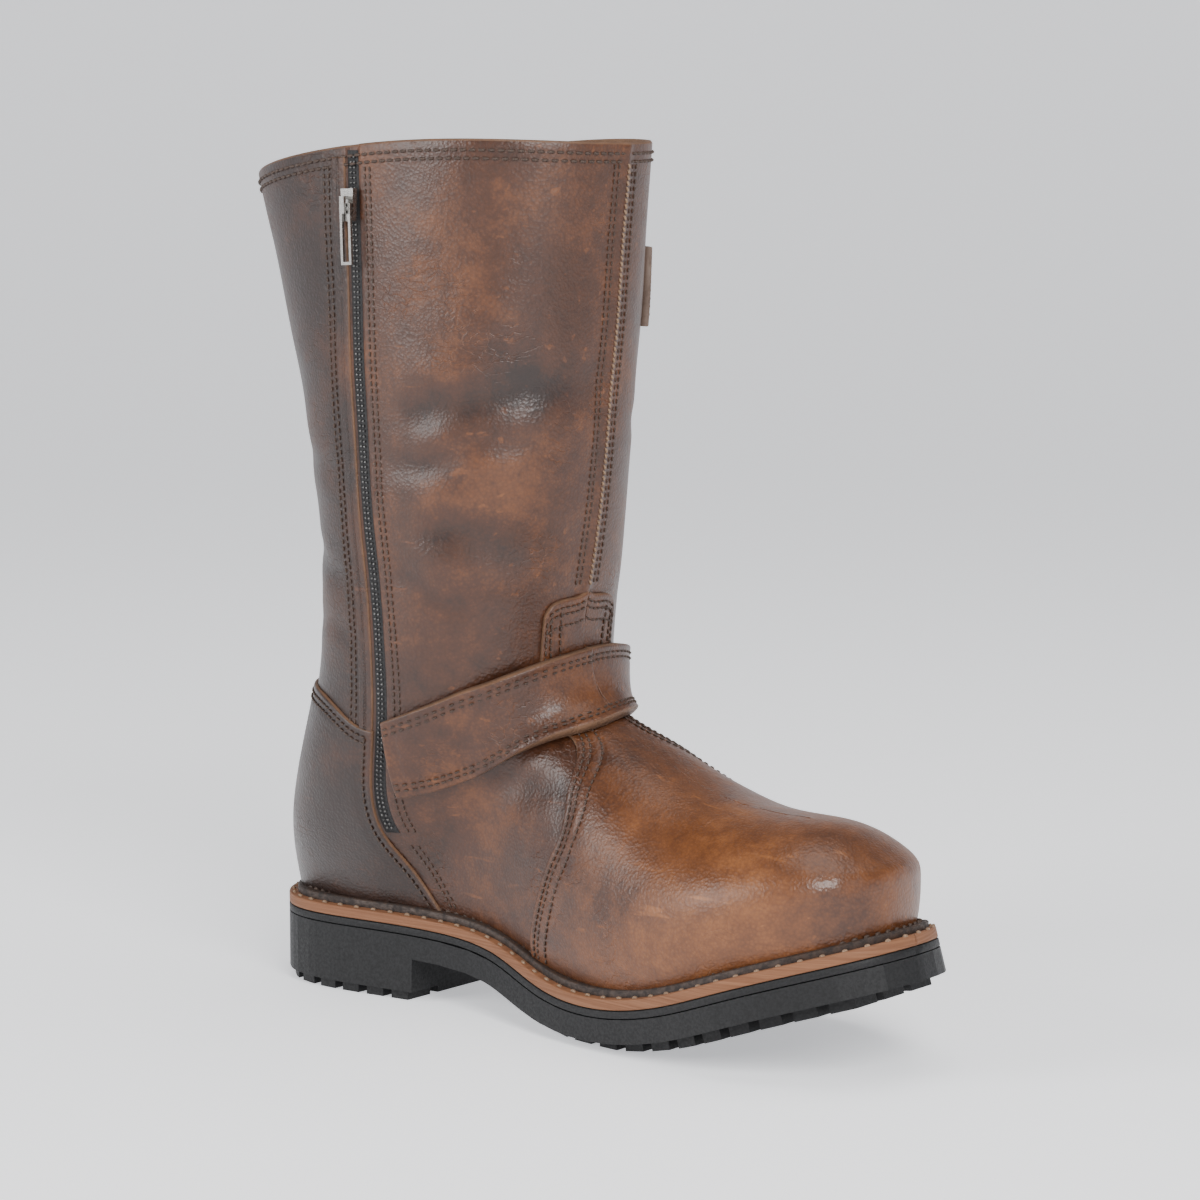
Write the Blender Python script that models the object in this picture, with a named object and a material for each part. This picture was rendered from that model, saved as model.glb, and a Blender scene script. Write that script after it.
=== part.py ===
"""Left engineer boot: pull-on shaft with a side zip, instep strap and shaft strap.

Frame: metres, +Z up, +X to the toe, +Y to the wearer's left (the outer side of this boot).
The origin lies on the floor at the middle of the heel's tread.
"""
import math

import bmesh
import bpy
import numpy as np

SOLE_LENGTH = 0.2975
BALL_WIDTH = 0.105
HEEL_REST = 0.037          # from the back of the sole to the origin
LUG = 0.004
OUTSOLE = 0.009
RUBBER_MIDSOLE = 0.003
HEEL_LIFT = 0.0137         # how far the heel seat stands above the ball
TOE_SPRING = 0.0326        # how far the toe rises above the ball
HEEL_BREAST = 0.081        # from the back of the sole to the front of the heel
LEATHER_MIDSOLE = 0.0042
WELT = 0.003
WELT_SET = 0.0035          # the welt's outer edge inside the midsole's edge
WELT_GAP = 0.0009          # clearance between the welt and the curved upper
INSOLE = 0.003
INSOLE_GAP = 0.0022
SEAT = 0.0003              # clearance between parts that rest on each other
UPPER_SEAT = 0.0007        # clearance under the upper's curved lower edge
LUG_INSET = 0.008
HEEL_LUG_INSET = 0.003
LUG_PITCH = 0.0118
LUG_RUN = 0.0078
LUG_WIDTH = 0.013
LUG_GAP = 0.0045

UPPER_HEEL_SET = 0.0066    # widest line of the upper inside the heel's edge
UPPER_TOE_SET = 0.0109     # and inside the toe's edge
BULGE_HEIGHT = 0.0226      # widest line above the midsole
UNDERCUT_DEPTH = 0.0366
CROWN = 0.072              # highest crown above the widest line
UNDER_POWER = 2.27
SHAFT_HEIGHT = 0.326
SHAFT_DEPTH = 0.172        # front to back at the rim
SHAFT_WIDTH = 0.106
SHAFT_POWER = 2.42
INSTEP_BLEND = 0.026
HEEL_BLEND = 0.008
RIM_FRONT = 0.3275
RIM_BACK = 0.3135
RIM_SADDLE = 0.0065
WALL = 0.0024
PIVOT = (0.105, 0.070)     # middle of the profile, seen from every point of its outline

ZIP_SLOT = 0.0065
ZIP_DEPTH = 0.0012
ZIP_BOTTOM = 0.066
ZIP_DROP = 0.0065         # from the rim's front down to the tape's upper end
ZIP_TAPE = 0.0008
SLIDER_DROP = 0.028        # from the rim's front down to its lower end
SLIDER_LENGTH = 0.012
SLIDER_WIDTH = 0.0062
SLIDER_LIFT = 0.0012       # over the surface beside the slot, clear of the teeth
SLIDER_BODY = 0.0022
CROWN_HOLE = 0.0018        # clear height under the slider's crown
CROWN_HOLE_LENGTH = 0.004
CROWN_WALL = 0.0012
CROWN_WIDTH = 0.0022
PULL_LENGTH = 0.022
PULL_WIDTH = 0.0052
PULL_WIRE = 0.0011

LAY = 0.0011               # clearance under a layer that follows the upper
LAYER_LIFT = 0.0020        # the layers start this far above the welt
VAMP = 0.0016
COUNTER = 0.0016
STRAP = 0.0038
STRAP_WIDTH = 0.0285
SHAFT_STRAP_WIDTH = 0.030
SHAFT_STRAP_HEIGHT = 0.2745
SHAFT_STRAP = 0.003
STRAP_LAY = 0.0009         # clearance under the straps
STRAP_OVER = 0.0008        # more clearance where it lies over the vamp
STRAP_END = 92             # angle at which the instep strap ends under its buckle
CHAPE_START = 102
CHAPE_END = 128
BUCKLE_ANGLE = 91
BUCKLE_LENGTH = 0.0145
BUCKLE_MARGIN = 0.0026     # how far the frames stand past the straps' edges
BUCKLE_WIRE = 0.0026
PRONG = 0.0022
BUCKLE_LAY = 0.0008        # clearance between a frame and the strap under it
SHAFT_TAB_START = 30
SHAFT_TAB_END = 72
SHAFT_STRAP_START = 75
SHAFT_STRAP_END = 148
SHAFT_BUCKLE_ANGLE = 80
SHAFT_BUCKLE_LENGTH = 0.016

TAB_HALF = 0.0215          # half the width of the vamp's tab
TAB_TOP = 0.160
TAB_DROP = 0.007           # how far its corners are rounded down

RINGS = 25
RING_CROWDING = 1.35       # above 1 the rings stand closer together at the toe
VAMP_COLUMNS = 8           # from the front seam to the vamp's rear edge
QUARTER_COLUMNS = 5        # from there to the zip, or to the counter on the outer side
HEEL_COLUMNS = 8           # from there to the back

# share of the length, then the medial and lateral half widths as shares of the ball width
SOLE_OUTLINE = (
    ("along", "medial", "lateral"),
    (0.000, 0.000, 0.000),
    (0.0205, 0.172, 0.175),
    (0.0615, 0.278, 0.267),
    (0.123, 0.318, 0.331),
    (0.205, 0.305, 0.357),
    (0.307, 0.278, 0.362),
    (0.410, 0.292, 0.378),
    (0.512, 0.378, 0.425),
    (0.615, 0.438, 0.485),
    (0.717, 0.468, 0.510),
    (0.800, 0.486, 0.478),
    (0.882, 0.424, 0.400),
    (0.935, 0.352, 0.300),
    (0.975, 0.262, 0.180),
    (1.000, 0.060, -0.060),
)
# share of the length, share of the heel lift, share of the toe spring
SOLE_RISE = (
    ("along", "heel", "toe"),
    (0.00, 1.00, 0.000),
    (0.154, 1.00, 0.000),
    (0.287, 0.965, 0.000),
    (0.410, 0.69, 0.000),
    (0.512, 0.15, 0.000),
    (0.615, 0.00, 0.000),
    (0.717, 0.00, 0.163),
    (0.820, 0.00, 0.483),
    (0.922, 0.00, 0.784),
    (1.00, 0.00, 1.000),
)
# share of the upper's length, half widths as shares of the ball width, crown as a share of CROWN,
# and the power of the crown's superellipse: above 2 its shoulders are fuller
FOOT = (
    ("along", "medial", "lateral", "crown", "power"),
    (0.000, 0.000, 0.000, 0.00, 2.6),
    (0.041, 0.112, 0.110, 0.28, 2.6),
    (0.122, 0.228, 0.284, 0.70, 2.6),
    (0.255, 0.230, 0.330, 0.94, 2.6),
    (0.407, 0.267, 0.360, 1.00, 2.6),
    (0.560, 0.372, 0.444, 0.895, 2.45),
    (0.713, 0.452, 0.524, 0.603, 2.15),
    (0.840, 0.451, 0.422, 0.398, 2.0),
    (0.920, 0.387, 0.312, 0.272, 2.0),
    (0.975, 0.275, 0.188, 0.100, 2.0),
    (1.000, 0.079, -0.079, 0.00, 2.0),
)
# share of the upper's length, sideways place of the top line as a share of the ball width
TOP_LINE = (
    ("along", "aside"),
    (0.00, 0.000),
    (0.31, 0.000),
    (0.51, 0.002),
    (0.71, -0.021),
    (0.87, -0.050),
    (1.00, -0.078),
)
# share of the shaft's height, middle as a share of the sole's length,
# half depth and half width as shares of the rim's, sideways place as a share of the rim's width
SHAFT = (
    ("up", "middle", "depth", "width", "aside"),
    (0.09, 0.1415, 0.427, 0.398, 0.000),
    (0.21, 0.1948, 0.527, 0.800, -0.004),
    (0.37, 0.2655, 0.590, 0.990, 0.010),
    (0.49, 0.2953, 0.631, 0.988, -0.017),
    (0.64, 0.3035, 0.701, 0.985, -0.042),
    (0.80, 0.2912, 0.810, 1.000, -0.039),
    (1.04, 0.2614, 1.006, 1.002, -0.032),
)
# height as a share of the shaft's height, distance from the back as a share of the sole's length
ZIP_LINE = (
    ("up", "along"),
    (0.00, 0.354),
    (0.10, 0.320),
    (0.16, 0.287),
    (0.21, 0.2686),
    (0.31, 0.2789),
    (0.62, 0.2789),
    (0.80, 0.2707),
    (1.10, 0.2584),
)
# the vamp's rear edge on the inner and the outer side, in the same shares
VAMP_EDGE = (
    ("up", "medial", "lateral"),
    (0.00, 0.451, 0.615),
    (0.09, 0.480, 0.627),
    (0.14, 0.498, 0.634),
    (0.19, 0.519, 0.638),
    (0.24, 0.539, 0.620),
    (0.29, 0.529, 0.574),
    (0.35, 0.482, 0.492),
)
# the heel counter's top edge on both sides, in the same shares
COUNTER_EDGE = (
    ("along", "up"),
    (0.00, 0.384),
    (0.123, 0.374),
    (0.205, 0.357),
    (0.246, 0.337),
    (0.267, 0.333),
    (0.410, 0.333),
)
# angle from the front about the ankle, then the strap's lower and upper edge, share of the shaft
STRAP_BAND = (
    ("angle", "lower", "upper"),
    (-104, 0.257, 0.341),
    (-76, 0.272, 0.372),
    (-48, 0.296, 0.403),
    (-24, 0.325, 0.422),
    (0, 0.341, 0.430),
    (26, 0.339, 0.428),
    (60, 0.318, 0.407),
    (98, 0.288, 0.376),
    (130, 0.268, 0.352),
)
ANKLE = (0.095, 0.000)
SHAFT_CENTRE = (0.085, -0.004)
# share of the front outline at a ring's front end, share of the back outline at its back end,
# and the power by which its sheet steepens
RING_LINE = (
    ("front", "back", "steep"),
    (0.00, 0.000, 1.0),
    (0.12, 0.035, 1.9),
    (0.25, 0.085, 2.8),
    (0.40, 0.150, 2.8),
    (0.50, 0.235, 2.2),
    (0.60, 0.370, 1.5),
    (0.75, 0.590, 1.0),
    (1.00, 1.000, 1.0),
)


def column(table, name):
    """One named column of a table."""
    place = table[0].index(name)
    return np.array([row[place] for row in table[1:]], float)


def smooth(x, xs, ys):
    """The natural cubic spline through the points (xs, ys), held flat beyond its ends."""
    n = len(xs)
    step = np.diff(xs)
    matrix = np.eye(n)
    right = np.zeros(n)
    slope = np.diff(ys) / step
    for i in range(1, n - 1):
        matrix[i, i - 1:i + 2] = step[i - 1], 2 * (step[i - 1] + step[i]), step[i]
        right[i] = 6 * (slope[i] - slope[i - 1])
    bend = np.linalg.solve(matrix, right)
    x = np.clip(x, xs[0], xs[-1])
    i = np.clip(np.searchsorted(xs, x) - 1, 0, n - 2)
    h = xs[i + 1] - xs[i]
    a = (xs[i + 1] - x) / h
    b = 1 - a
    cubic = ((a**3 - a) * bend[i] + (b**3 - b) * bend[i + 1]) * h * h / 6
    return a * ys[i] + b * ys[i + 1] + cubic


def turn(share):
    """Angle that runs evenly round a half ellipse while the share runs along its axis."""
    return np.arccos(1 - 2 * np.clip(share, 0, 1)) / math.pi


def ease(x, start, end):
    """Smooth step from 0 at start to 1 at end."""
    t = np.clip((x - start) / (end - start), 0, 1)
    return t * t * (3 - 2 * t)


SOLE_TURN = turn(column(SOLE_OUTLINE, "along"))
RISE_HEIGHT = (LUG + OUTSOLE + RUBBER_MIDSOLE + HEEL_LIFT * column(SOLE_RISE, "heel")
               + TOE_SPRING * column(SOLE_RISE, "toe"))


def sole_edge(share, side):
    """Sideways place of the sole's edge; side is 1 on the outer and -1 on the inner side."""
    name = "lateral" if side > 0 else "medial"
    return side * BALL_WIDTH * smooth(turn(share), SOLE_TURN, column(SOLE_OUTLINE, name))


def rise(share):
    """Height of the rubber's top above the floor."""
    return smooth(share, column(SOLE_RISE, "along"), RISE_HEIGHT)


def over_sole(share, y, height):
    """Points at a share of the length and a width, raised square to the sole's curve."""
    tiny = 1e-4
    slope = (rise(share + tiny) - rise(share - tiny)) / (2 * tiny * SOLE_LENGTH)
    long = np.sqrt(1 + slope**2)
    return np.stack([share * SOLE_LENGTH - slope / long * height,
                     y + 0 * share, rise(share) + height / long], -1)


def sole_top(x):
    """Height of the leather midsole's top at a distance from the back."""
    return rise(np.clip(x / SOLE_LENGTH, 0, 1)) + LEATHER_MIDSOLE


UPPER_START = UPPER_HEEL_SET
UPPER_END = SOLE_LENGTH - UPPER_TOE_SET
FOOT_TURN = turn(column(FOOT, "along"))


def top_line(x):
    """Sideways place of the upper's top line."""
    share = (x - UPPER_START) / (UPPER_END - UPPER_START)
    return BALL_WIDTH * smooth(share, column(TOP_LINE, "along"), column(TOP_LINE, "aside"))


def foot_field(x, y, z):
    """Distance-like value of the foot's dome, below zero inside: superellipse sections."""
    share = (x - UPPER_START) / (UPPER_END - UPPER_START)
    at = turn(share)
    medial = BALL_WIDTH * smooth(at, FOOT_TURN, column(FOOT, "medial"))
    lateral = BALL_WIDTH * smooth(at, FOOT_TURN, column(FOOT, "lateral"))
    crown = CROWN * smooth(at, FOOT_TURN, column(FOOT, "crown"))
    aside = top_line(x)
    half = np.maximum(np.where(y < aside, aside + medial, lateral - aside), 1e-4)
    above = z - sole_top(x) - BULGE_HEIGHT
    tall = np.where(above > 0, np.maximum(crown, 1e-4), UNDERCUT_DEPTH)
    crown_power = smooth(at, FOOT_TURN, column(FOOT, "power"))
    power = np.where(above > 0, crown_power, UNDER_POWER)
    reach = ((np.abs(y - aside) / half)**power + (np.abs(above) / tall)**power)**(1 / power)
    beyond = np.maximum(x - UPPER_END, 0) + np.maximum(UPPER_START - x, 0)
    return (reach - 1) * np.minimum(half, tall) + beyond


def shaft_field(x, y, z):
    """Distance-like value of the shaft's tube, below zero inside: superelliptic levels."""
    up = z / SHAFT_HEIGHT
    rows = column(SHAFT, "up")
    middle = SOLE_LENGTH * smooth(up, rows, column(SHAFT, "middle"))
    depth = SHAFT_DEPTH / 2 * smooth(up, rows, column(SHAFT, "depth"))
    width = SHAFT_WIDTH / 2 * smooth(up, rows, column(SHAFT, "width"))
    aside = SHAFT_WIDTH * smooth(up, rows, column(SHAFT, "aside"))
    reach = (np.abs((x - middle) / depth)**SHAFT_POWER
             + np.abs((y - aside) / width)**SHAFT_POWER)**(1 / SHAFT_POWER)
    return (reach - 1) * np.minimum(depth, width)


def boot_field(x, y, z):
    """The foot and the shaft melted together, with a wide fillet at the instep only."""
    foot = foot_field(x, y, z)
    shaft = shaft_field(x, y, z)
    blend = HEEL_BLEND + (INSTEP_BLEND - HEEL_BLEND) * ease(x, 0.205 * SOLE_LENGTH, 0.41 * SOLE_LENGTH)
    near = np.maximum(blend - np.abs(foot - shaft), 0) / blend
    return np.minimum(foot, shaft) - near * near * blend / 4


def leave(point_at, reach, marches=24, halvings=20):
    """Distance along each ray at which it first leaves the boot; point_at gives x, y, z."""
    low = np.zeros_like(reach)
    high = reach.copy()
    found = np.zeros(reach.shape, bool)
    for i in range(1, marches + 1):
        far = reach * i / marches
        out = boot_field(*point_at(far)) > 0
        new = out & ~found
        high = np.where(new, far, high)
        low = np.where(new, far - reach / marches, low)
        found |= out
    for _ in range(halvings):
        middle = (low + high) / 2
        out = boot_field(*point_at(middle)) > 0
        high = np.where(out, middle, high)
        low = np.where(out, low, middle)
    return (low + high) / 2


def cast(start, toward, height_at):
    """Surface points met by level rays whose height follows a sheet over x."""
    def point_at(far):
        x = start[0] + toward[0] * far
        return x, start[1] + toward[1] * far, height_at(x)
    far = leave(point_at, np.full(np.shape(toward[0]), 0.22))
    return np.stack(point_at(far), -1)


def outward(points):
    """Unit normals of the boot's surface at points, from the field's gradient."""
    tiny = 2e-4
    x, y, z = points[..., 0], points[..., 1], points[..., 2]
    slope = np.stack([
        boot_field(x + tiny, y, z) - boot_field(x - tiny, y, z),
        boot_field(x, y + tiny, z) - boot_field(x, y - tiny, z),
        boot_field(x, y, z + tiny) - boot_field(x, y, z - tiny)], -1)
    return slope / np.linalg.norm(slope, axis=-1, keepdims=True)


def along(line, count_or_shares):
    """Points at even or given shares of a polyline's length."""
    gone = np.concatenate([[0], np.cumsum(np.linalg.norm(np.diff(line, axis=0), axis=1))])
    shares = count_or_shares
    if np.isscalar(shares):
        shares = np.linspace(0, 1, shares)
    return np.stack([np.interp(shares * gone[-1], gone, line[:, i]) for i in range(line.shape[1])], -1)


def profile_line(angles, rim):
    """The outline in the middle plane, from the sole's top to the rim, as x and z."""
    cosine, sine = np.cos(angles), np.sin(angles)

    def point_at(far):
        x = PIVOT[0] + cosine * far
        return x, top_line(x), PIVOT[1] + sine * far
    x, _, z = point_at(leave(point_at, np.full(angles.shape, 0.34), marches=60))
    line = np.stack([x, z], -1)
    over = z - sole_top(x) - UPPER_SEAT
    low = int(np.argmax(over > 0))
    high = int(np.argmax(z > rim))
    part = over[low] / (over[low] - over[low - 1])
    foot = line[low] + part * (line[low - 1] - line[low])
    part = (rim - z[high - 1]) / (z[high] - z[high - 1])
    top = line[high - 1] + part * (line[high] - line[high - 1])
    return np.concatenate([[foot], line[low:high], [top]])


FRONT_LINE = profile_line(np.radians(np.linspace(-14, 84, 300)), RIM_FRONT)
BACK_LINE = profile_line(np.radians(np.linspace(205, 108, 200)), RIM_BACK)


def ring_sheet(level):
    """Ends of a ring in the middle plane, and the height over x of the sheet that it lies in.

    While the front end climbs over the toe and the instep the back end rises slowly, and the
    sheet steepens towards the front, so that it crosses the instep's slope squarely.
    """
    steps = column(RING_LINE, "front")
    front = along(FRONT_LINE, np.array([level]))[0]
    back = along(BACK_LINE, np.array([smooth(level, steps, column(RING_LINE, "back"))]))[0]
    steep = smooth(level, steps, column(RING_LINE, "steep"))
    low_front = FRONT_LINE[0]
    low_back = BACK_LINE[0]
    follow = (1 - min(level / 0.6, 1))**1.5
    saddle = RIM_SADDLE * max(0, (level - 0.6) / 0.4)**2

    def height_at(x):
        t = np.clip((x - back[0]) / (front[0] - back[0]), 0, 1.2)
        plane = back[1] + (front[1] - back[1]) * t**steep
        bound = np.clip(x, low_back[0], low_front[0])
        chord = low_back[1] + (low_front[1] - low_back[1]) * (bound - low_back[0]) / (
            low_front[0] - low_back[0])
        middle = (front[0] + back[0]) / 2
        hump = 1 - ((x - middle) / (front[0] - middle))**2
        return plane + (sole_top(bound) + UPPER_SEAT - chord) * follow + saddle * hump
    return front, back, height_at


def ring_halves(level, rays=320):
    """Dense lines from the front to the back of a ring: the outer half and the inner half."""
    front, back, height_at = ring_sheet(level)
    around = np.linspace(0, 2 * math.pi, rays, endpoint=False)
    around = around - 0.6 * np.sin(around)
    half = (front[0] - back[0]) / 2
    middle = (front[0] + back[0]) / 2
    start = middle + max(half - 0.030, 0.004) * np.cos(around)
    ring = cast((start, top_line(start)), (np.cos(around), np.sin(around)), height_at)
    ring[0] = front[0], top_line(front[0]), front[1]
    ring[rays // 2] = back[0], top_line(back[0]), back[1]
    return ring[:rays // 2 + 1], np.concatenate([ring[rays // 2:], ring[:1]])[::-1]


def share_where(line, side_line, name):
    """Share of a half ring at which it first crosses a line of the side view, from the front."""
    x_line = SOLE_LENGTH * smooth(line[:, 2] / SHAFT_HEIGHT, column(side_line, "up"),
                                  column(side_line, name))
    behind = line[:, 0] < x_line
    i = int(np.argmax(behind))
    if i == 0:
        return 0.0 if behind[0] else 1.0
    gap = line[:, 0] - x_line
    part = gap[i - 1] / (gap[i - 1] - gap[i])
    gone = np.concatenate([[0], np.cumsum(np.linalg.norm(np.diff(line, axis=0), axis=1))])
    return float((gone[i - 1] + part * (gone[i] - gone[i - 1])) / gone[-1])


def length(line):
    """Length of a polyline."""
    return float(np.sum(np.linalg.norm(np.diff(line, axis=0), axis=1)))


def side_point(x, z, side):
    """Surface point seen square from the side at a distance from the back and a height."""
    x = np.asarray(x, float)
    z = np.asarray(z, float)

    def point_at(far):
        return x, top_line(x) + side * far, z
    return np.stack(point_at(leave(point_at, np.full(x.shape, 0.09))), -1)


def wrap(angle, z, centre=ANKLE):
    """Surface point in a direction from an upright axis; the angle runs from the toe outward."""
    angle = np.asarray(angle, float)
    z = np.asarray(z, float)

    def point_at(far):
        return centre[0] + np.cos(angle) * far, centre[1] + np.sin(angle) * far, z
    return np.stack(point_at(leave(point_at, np.full(angle.shape, 0.22), marches=40)), -1)


def finish(name, points, faces, colour, roughness, metallic=0.0, origin=(HEEL_REST, 0, 0)):
    """Makes one closed object from points and faces, facing outwards, with its own material."""
    mesh = bpy.data.meshes.new(name)
    moved = np.asarray(points, float).reshape(-1, 3) - origin
    mesh.from_pydata(moved.tolist(), [], [list(map(int, face)) for face in faces])
    work = bmesh.new()
    work.from_mesh(mesh)
    bmesh.ops.remove_doubles(work, verts=work.verts, dist=1e-6)
    bmesh.ops.recalc_face_normals(work, faces=work.faces)
    work.to_mesh(mesh)
    work.free()
    mesh.shade_smooth()
    mesh.set_sharp_from_angle(angle=math.radians(40))
    material = bpy.data.materials.new(name)
    material.use_nodes = True
    shader = material.node_tree.nodes["Principled BSDF"]
    shader.inputs["Base Color"].default_value = (*colour, 1)
    shader.inputs["Roughness"].default_value = roughness
    shader.inputs["Metallic"].default_value = metallic
    mesh.materials.append(material)
    piece = bpy.data.objects.new(name, mesh)
    piece.location = np.array(origin) - (HEEL_REST, 0, 0)
    bpy.context.collection.objects.link(piece)
    return piece


def grid_faces(rows, columns, start=0, closed=False, flip=False):
    """Quads of a grid of points stored row by row."""
    faces = []
    for i in range(rows - 1):
        for j in range(columns if closed else columns - 1):
            a = start + i * columns + j
            b = start + i * columns + (j + 1) % columns
            quad = (a, b, b + columns, a + columns)
            faces.append(quad[::-1] if flip else quad)
    return faces


def sheet_solid(outer, inner):
    """Points and faces of the solid between two grids of the same size, closed at its edges."""
    rows, columns = outer.shape[:2]
    size = rows * columns
    points = np.concatenate([outer.reshape(-1, 3), inner.reshape(-1, 3)])
    faces = grid_faces(rows, columns) + grid_faces(rows, columns, size, flip=True)
    border = ([(0, j) for j in range(columns)] + [(i, columns - 1) for i in range(1, rows)]
              + [(rows - 1, j) for j in range(columns - 2, -1, -1)]
              + [(i, 0) for i in range(rows - 2, 0, -1)])
    for here, there in zip(border, border[1:] + border[:1]):
        a = here[0] * columns + here[1]
        b = there[0] * columns + there[1]
        faces.append((b, a, a + size, b + size))
    return points, faces


def ring_solid(outer, inner):
    """Points and faces of a hollow wall between two stacks of closed rings."""
    rows, columns = outer.shape[:2]
    size = rows * columns
    points = np.concatenate([outer.reshape(-1, 3), inner.reshape(-1, 3)])
    faces = (grid_faces(rows, columns, closed=True)
             + grid_faces(rows, columns, size, closed=True, flip=True))
    for row, order in ((0, 1), (rows - 1, -1)):
        for j in range(columns):
            a = row * columns + j
            b = row * columns + (j + 1) % columns
            faces.append((b, a, a + size, b + size)[::order])
    return points, faces


def strip_solid(left_low, right_low, right_high, left_high):
    """A slab carried along stations, each a four-sided section."""
    sections = np.stack([left_low, right_low, right_high, left_high], 1)
    count = len(sections)
    faces = grid_faces(count, 4, closed=True)
    last = (count - 1) * 4
    faces += [(3, 2, 1, 0), (last, last + 1, last + 2, last + 3)]
    return sections.reshape(-1, 3), faces


def lay_on(points, low, high):
    """Grids lifted off the upper's surface by two heights, which may vary over the grid."""
    normal = outward(points)
    low = np.broadcast_to(low, points.shape[:-1])[..., None]
    high = np.broadcast_to(high, points.shape[:-1])[..., None]
    return points + normal * high, points + normal * low


def block_cells(along_cuts, across_cuts, height_cuts, filled, place):
    """Points and faces of the skin round the filled cells of a small grid of boxes.

    place maps a cut along, across and in height to a point; the skin is left out between
    two filled cells.
    """
    cuts = [np.asarray(c, float) for c in (along_cuts, across_cuts, height_cuts)]
    counts = [len(c) for c in cuts]
    points = [place(cuts[0][i], cuts[1][j], cuts[2][k])
              for i in range(counts[0]) for j in range(counts[1]) for k in range(counts[2])]

    def at(corner):
        return (corner[0] * counts[1] + corner[1]) * counts[2] + corner[2]
    faces = []
    cells = [(i, j, k) for i in range(counts[0] - 1) for j in range(counts[1] - 1)
             for k in range(counts[2] - 1) if filled(i, j, k)]
    for cell in cells:
        for axis in range(3):
            for step in (0, 1):
                beyond = list(cell)
                beyond[axis] += 2 * step - 1
                if tuple(beyond) in cells:
                    continue
                one, two = [a for a in range(3) if a != axis]
                quad = []
                for da, db in ((0, 0), (1, 0), (1, 1), (0, 1)):
                    corner = list(cell)
                    corner[axis] += step
                    corner[one] += da
                    corner[two] += db
                    quad.append(at(corner))
                faces.append(quad)
    used = sorted({v for face in faces for v in face})
    order = {v: n for n, v in enumerate(used)}
    return np.array([points[v] for v in used]), [[order[v] for v in face] for face in faces]


def frame_at(base, up_point):
    """Outward normal, upward tangent and level tangent at a surface point."""
    normal = outward(base)
    up = up_point - base
    up = up - normal * np.dot(up, normal)
    up /= np.linalg.norm(up)
    return normal, up, np.cross(normal, up)


def sole_stations(start=0.0, end=1.0, count=44):
    """Shares of the length, closer together at the round ends."""
    full = (1 - np.cos(np.linspace(0.02, math.pi - 0.02, count))) / 2
    return start + (end - start) * full


def inset_edge(shares, side, inset):
    """The sole's edge moved inwards by an inset, as share and width pairs."""
    tiny = 1e-3
    low, high = np.clip(shares - tiny, 0, 1), np.clip(shares + tiny, 0, 1)
    run = (high - low) * SOLE_LENGTH
    grow = sole_edge(high, side) - sole_edge(low, side)
    long = np.hypot(run, grow)
    x = shares * SOLE_LENGTH + side * grow / long * inset
    y = sole_edge(shares, side) - side * run / long * inset
    return x / SOLE_LENGTH, y


def slab(low, high, inset=0.0):
    """A layer of the sole between two heights over the rubber's top."""
    shares = sole_stations()
    edges = []
    for side in (-1, 1):
        where, y = inset_edge(shares, side, inset)
        edges.append((where, y))
    corners = [over_sole(edges[i][0], edges[i][1], h) for i, h in ((0, low), (1, low), (1, high), (0, high))]
    return strip_solid(*corners)


def make_midsoles():
    """The tan leather midsole on its thin rubber midsole."""
    finish("leather_midsole", *slab(SEAT, LEATHER_MIDSOLE), (0.52, 0.27, 0.14), 0.6)
    finish("rubber_midsole", *slab(-RUBBER_MIDSOLE, 0), (0.012, 0.012, 0.013), 0.7)


def lug_marks(start, end, pitch, run):
    """Start and end of each bar of the tread between two distances from the back."""
    count = int((end - start - run) / pitch) + 1
    return [(start + i * pitch, start + i * pitch + run) for i in range(count)]


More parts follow.
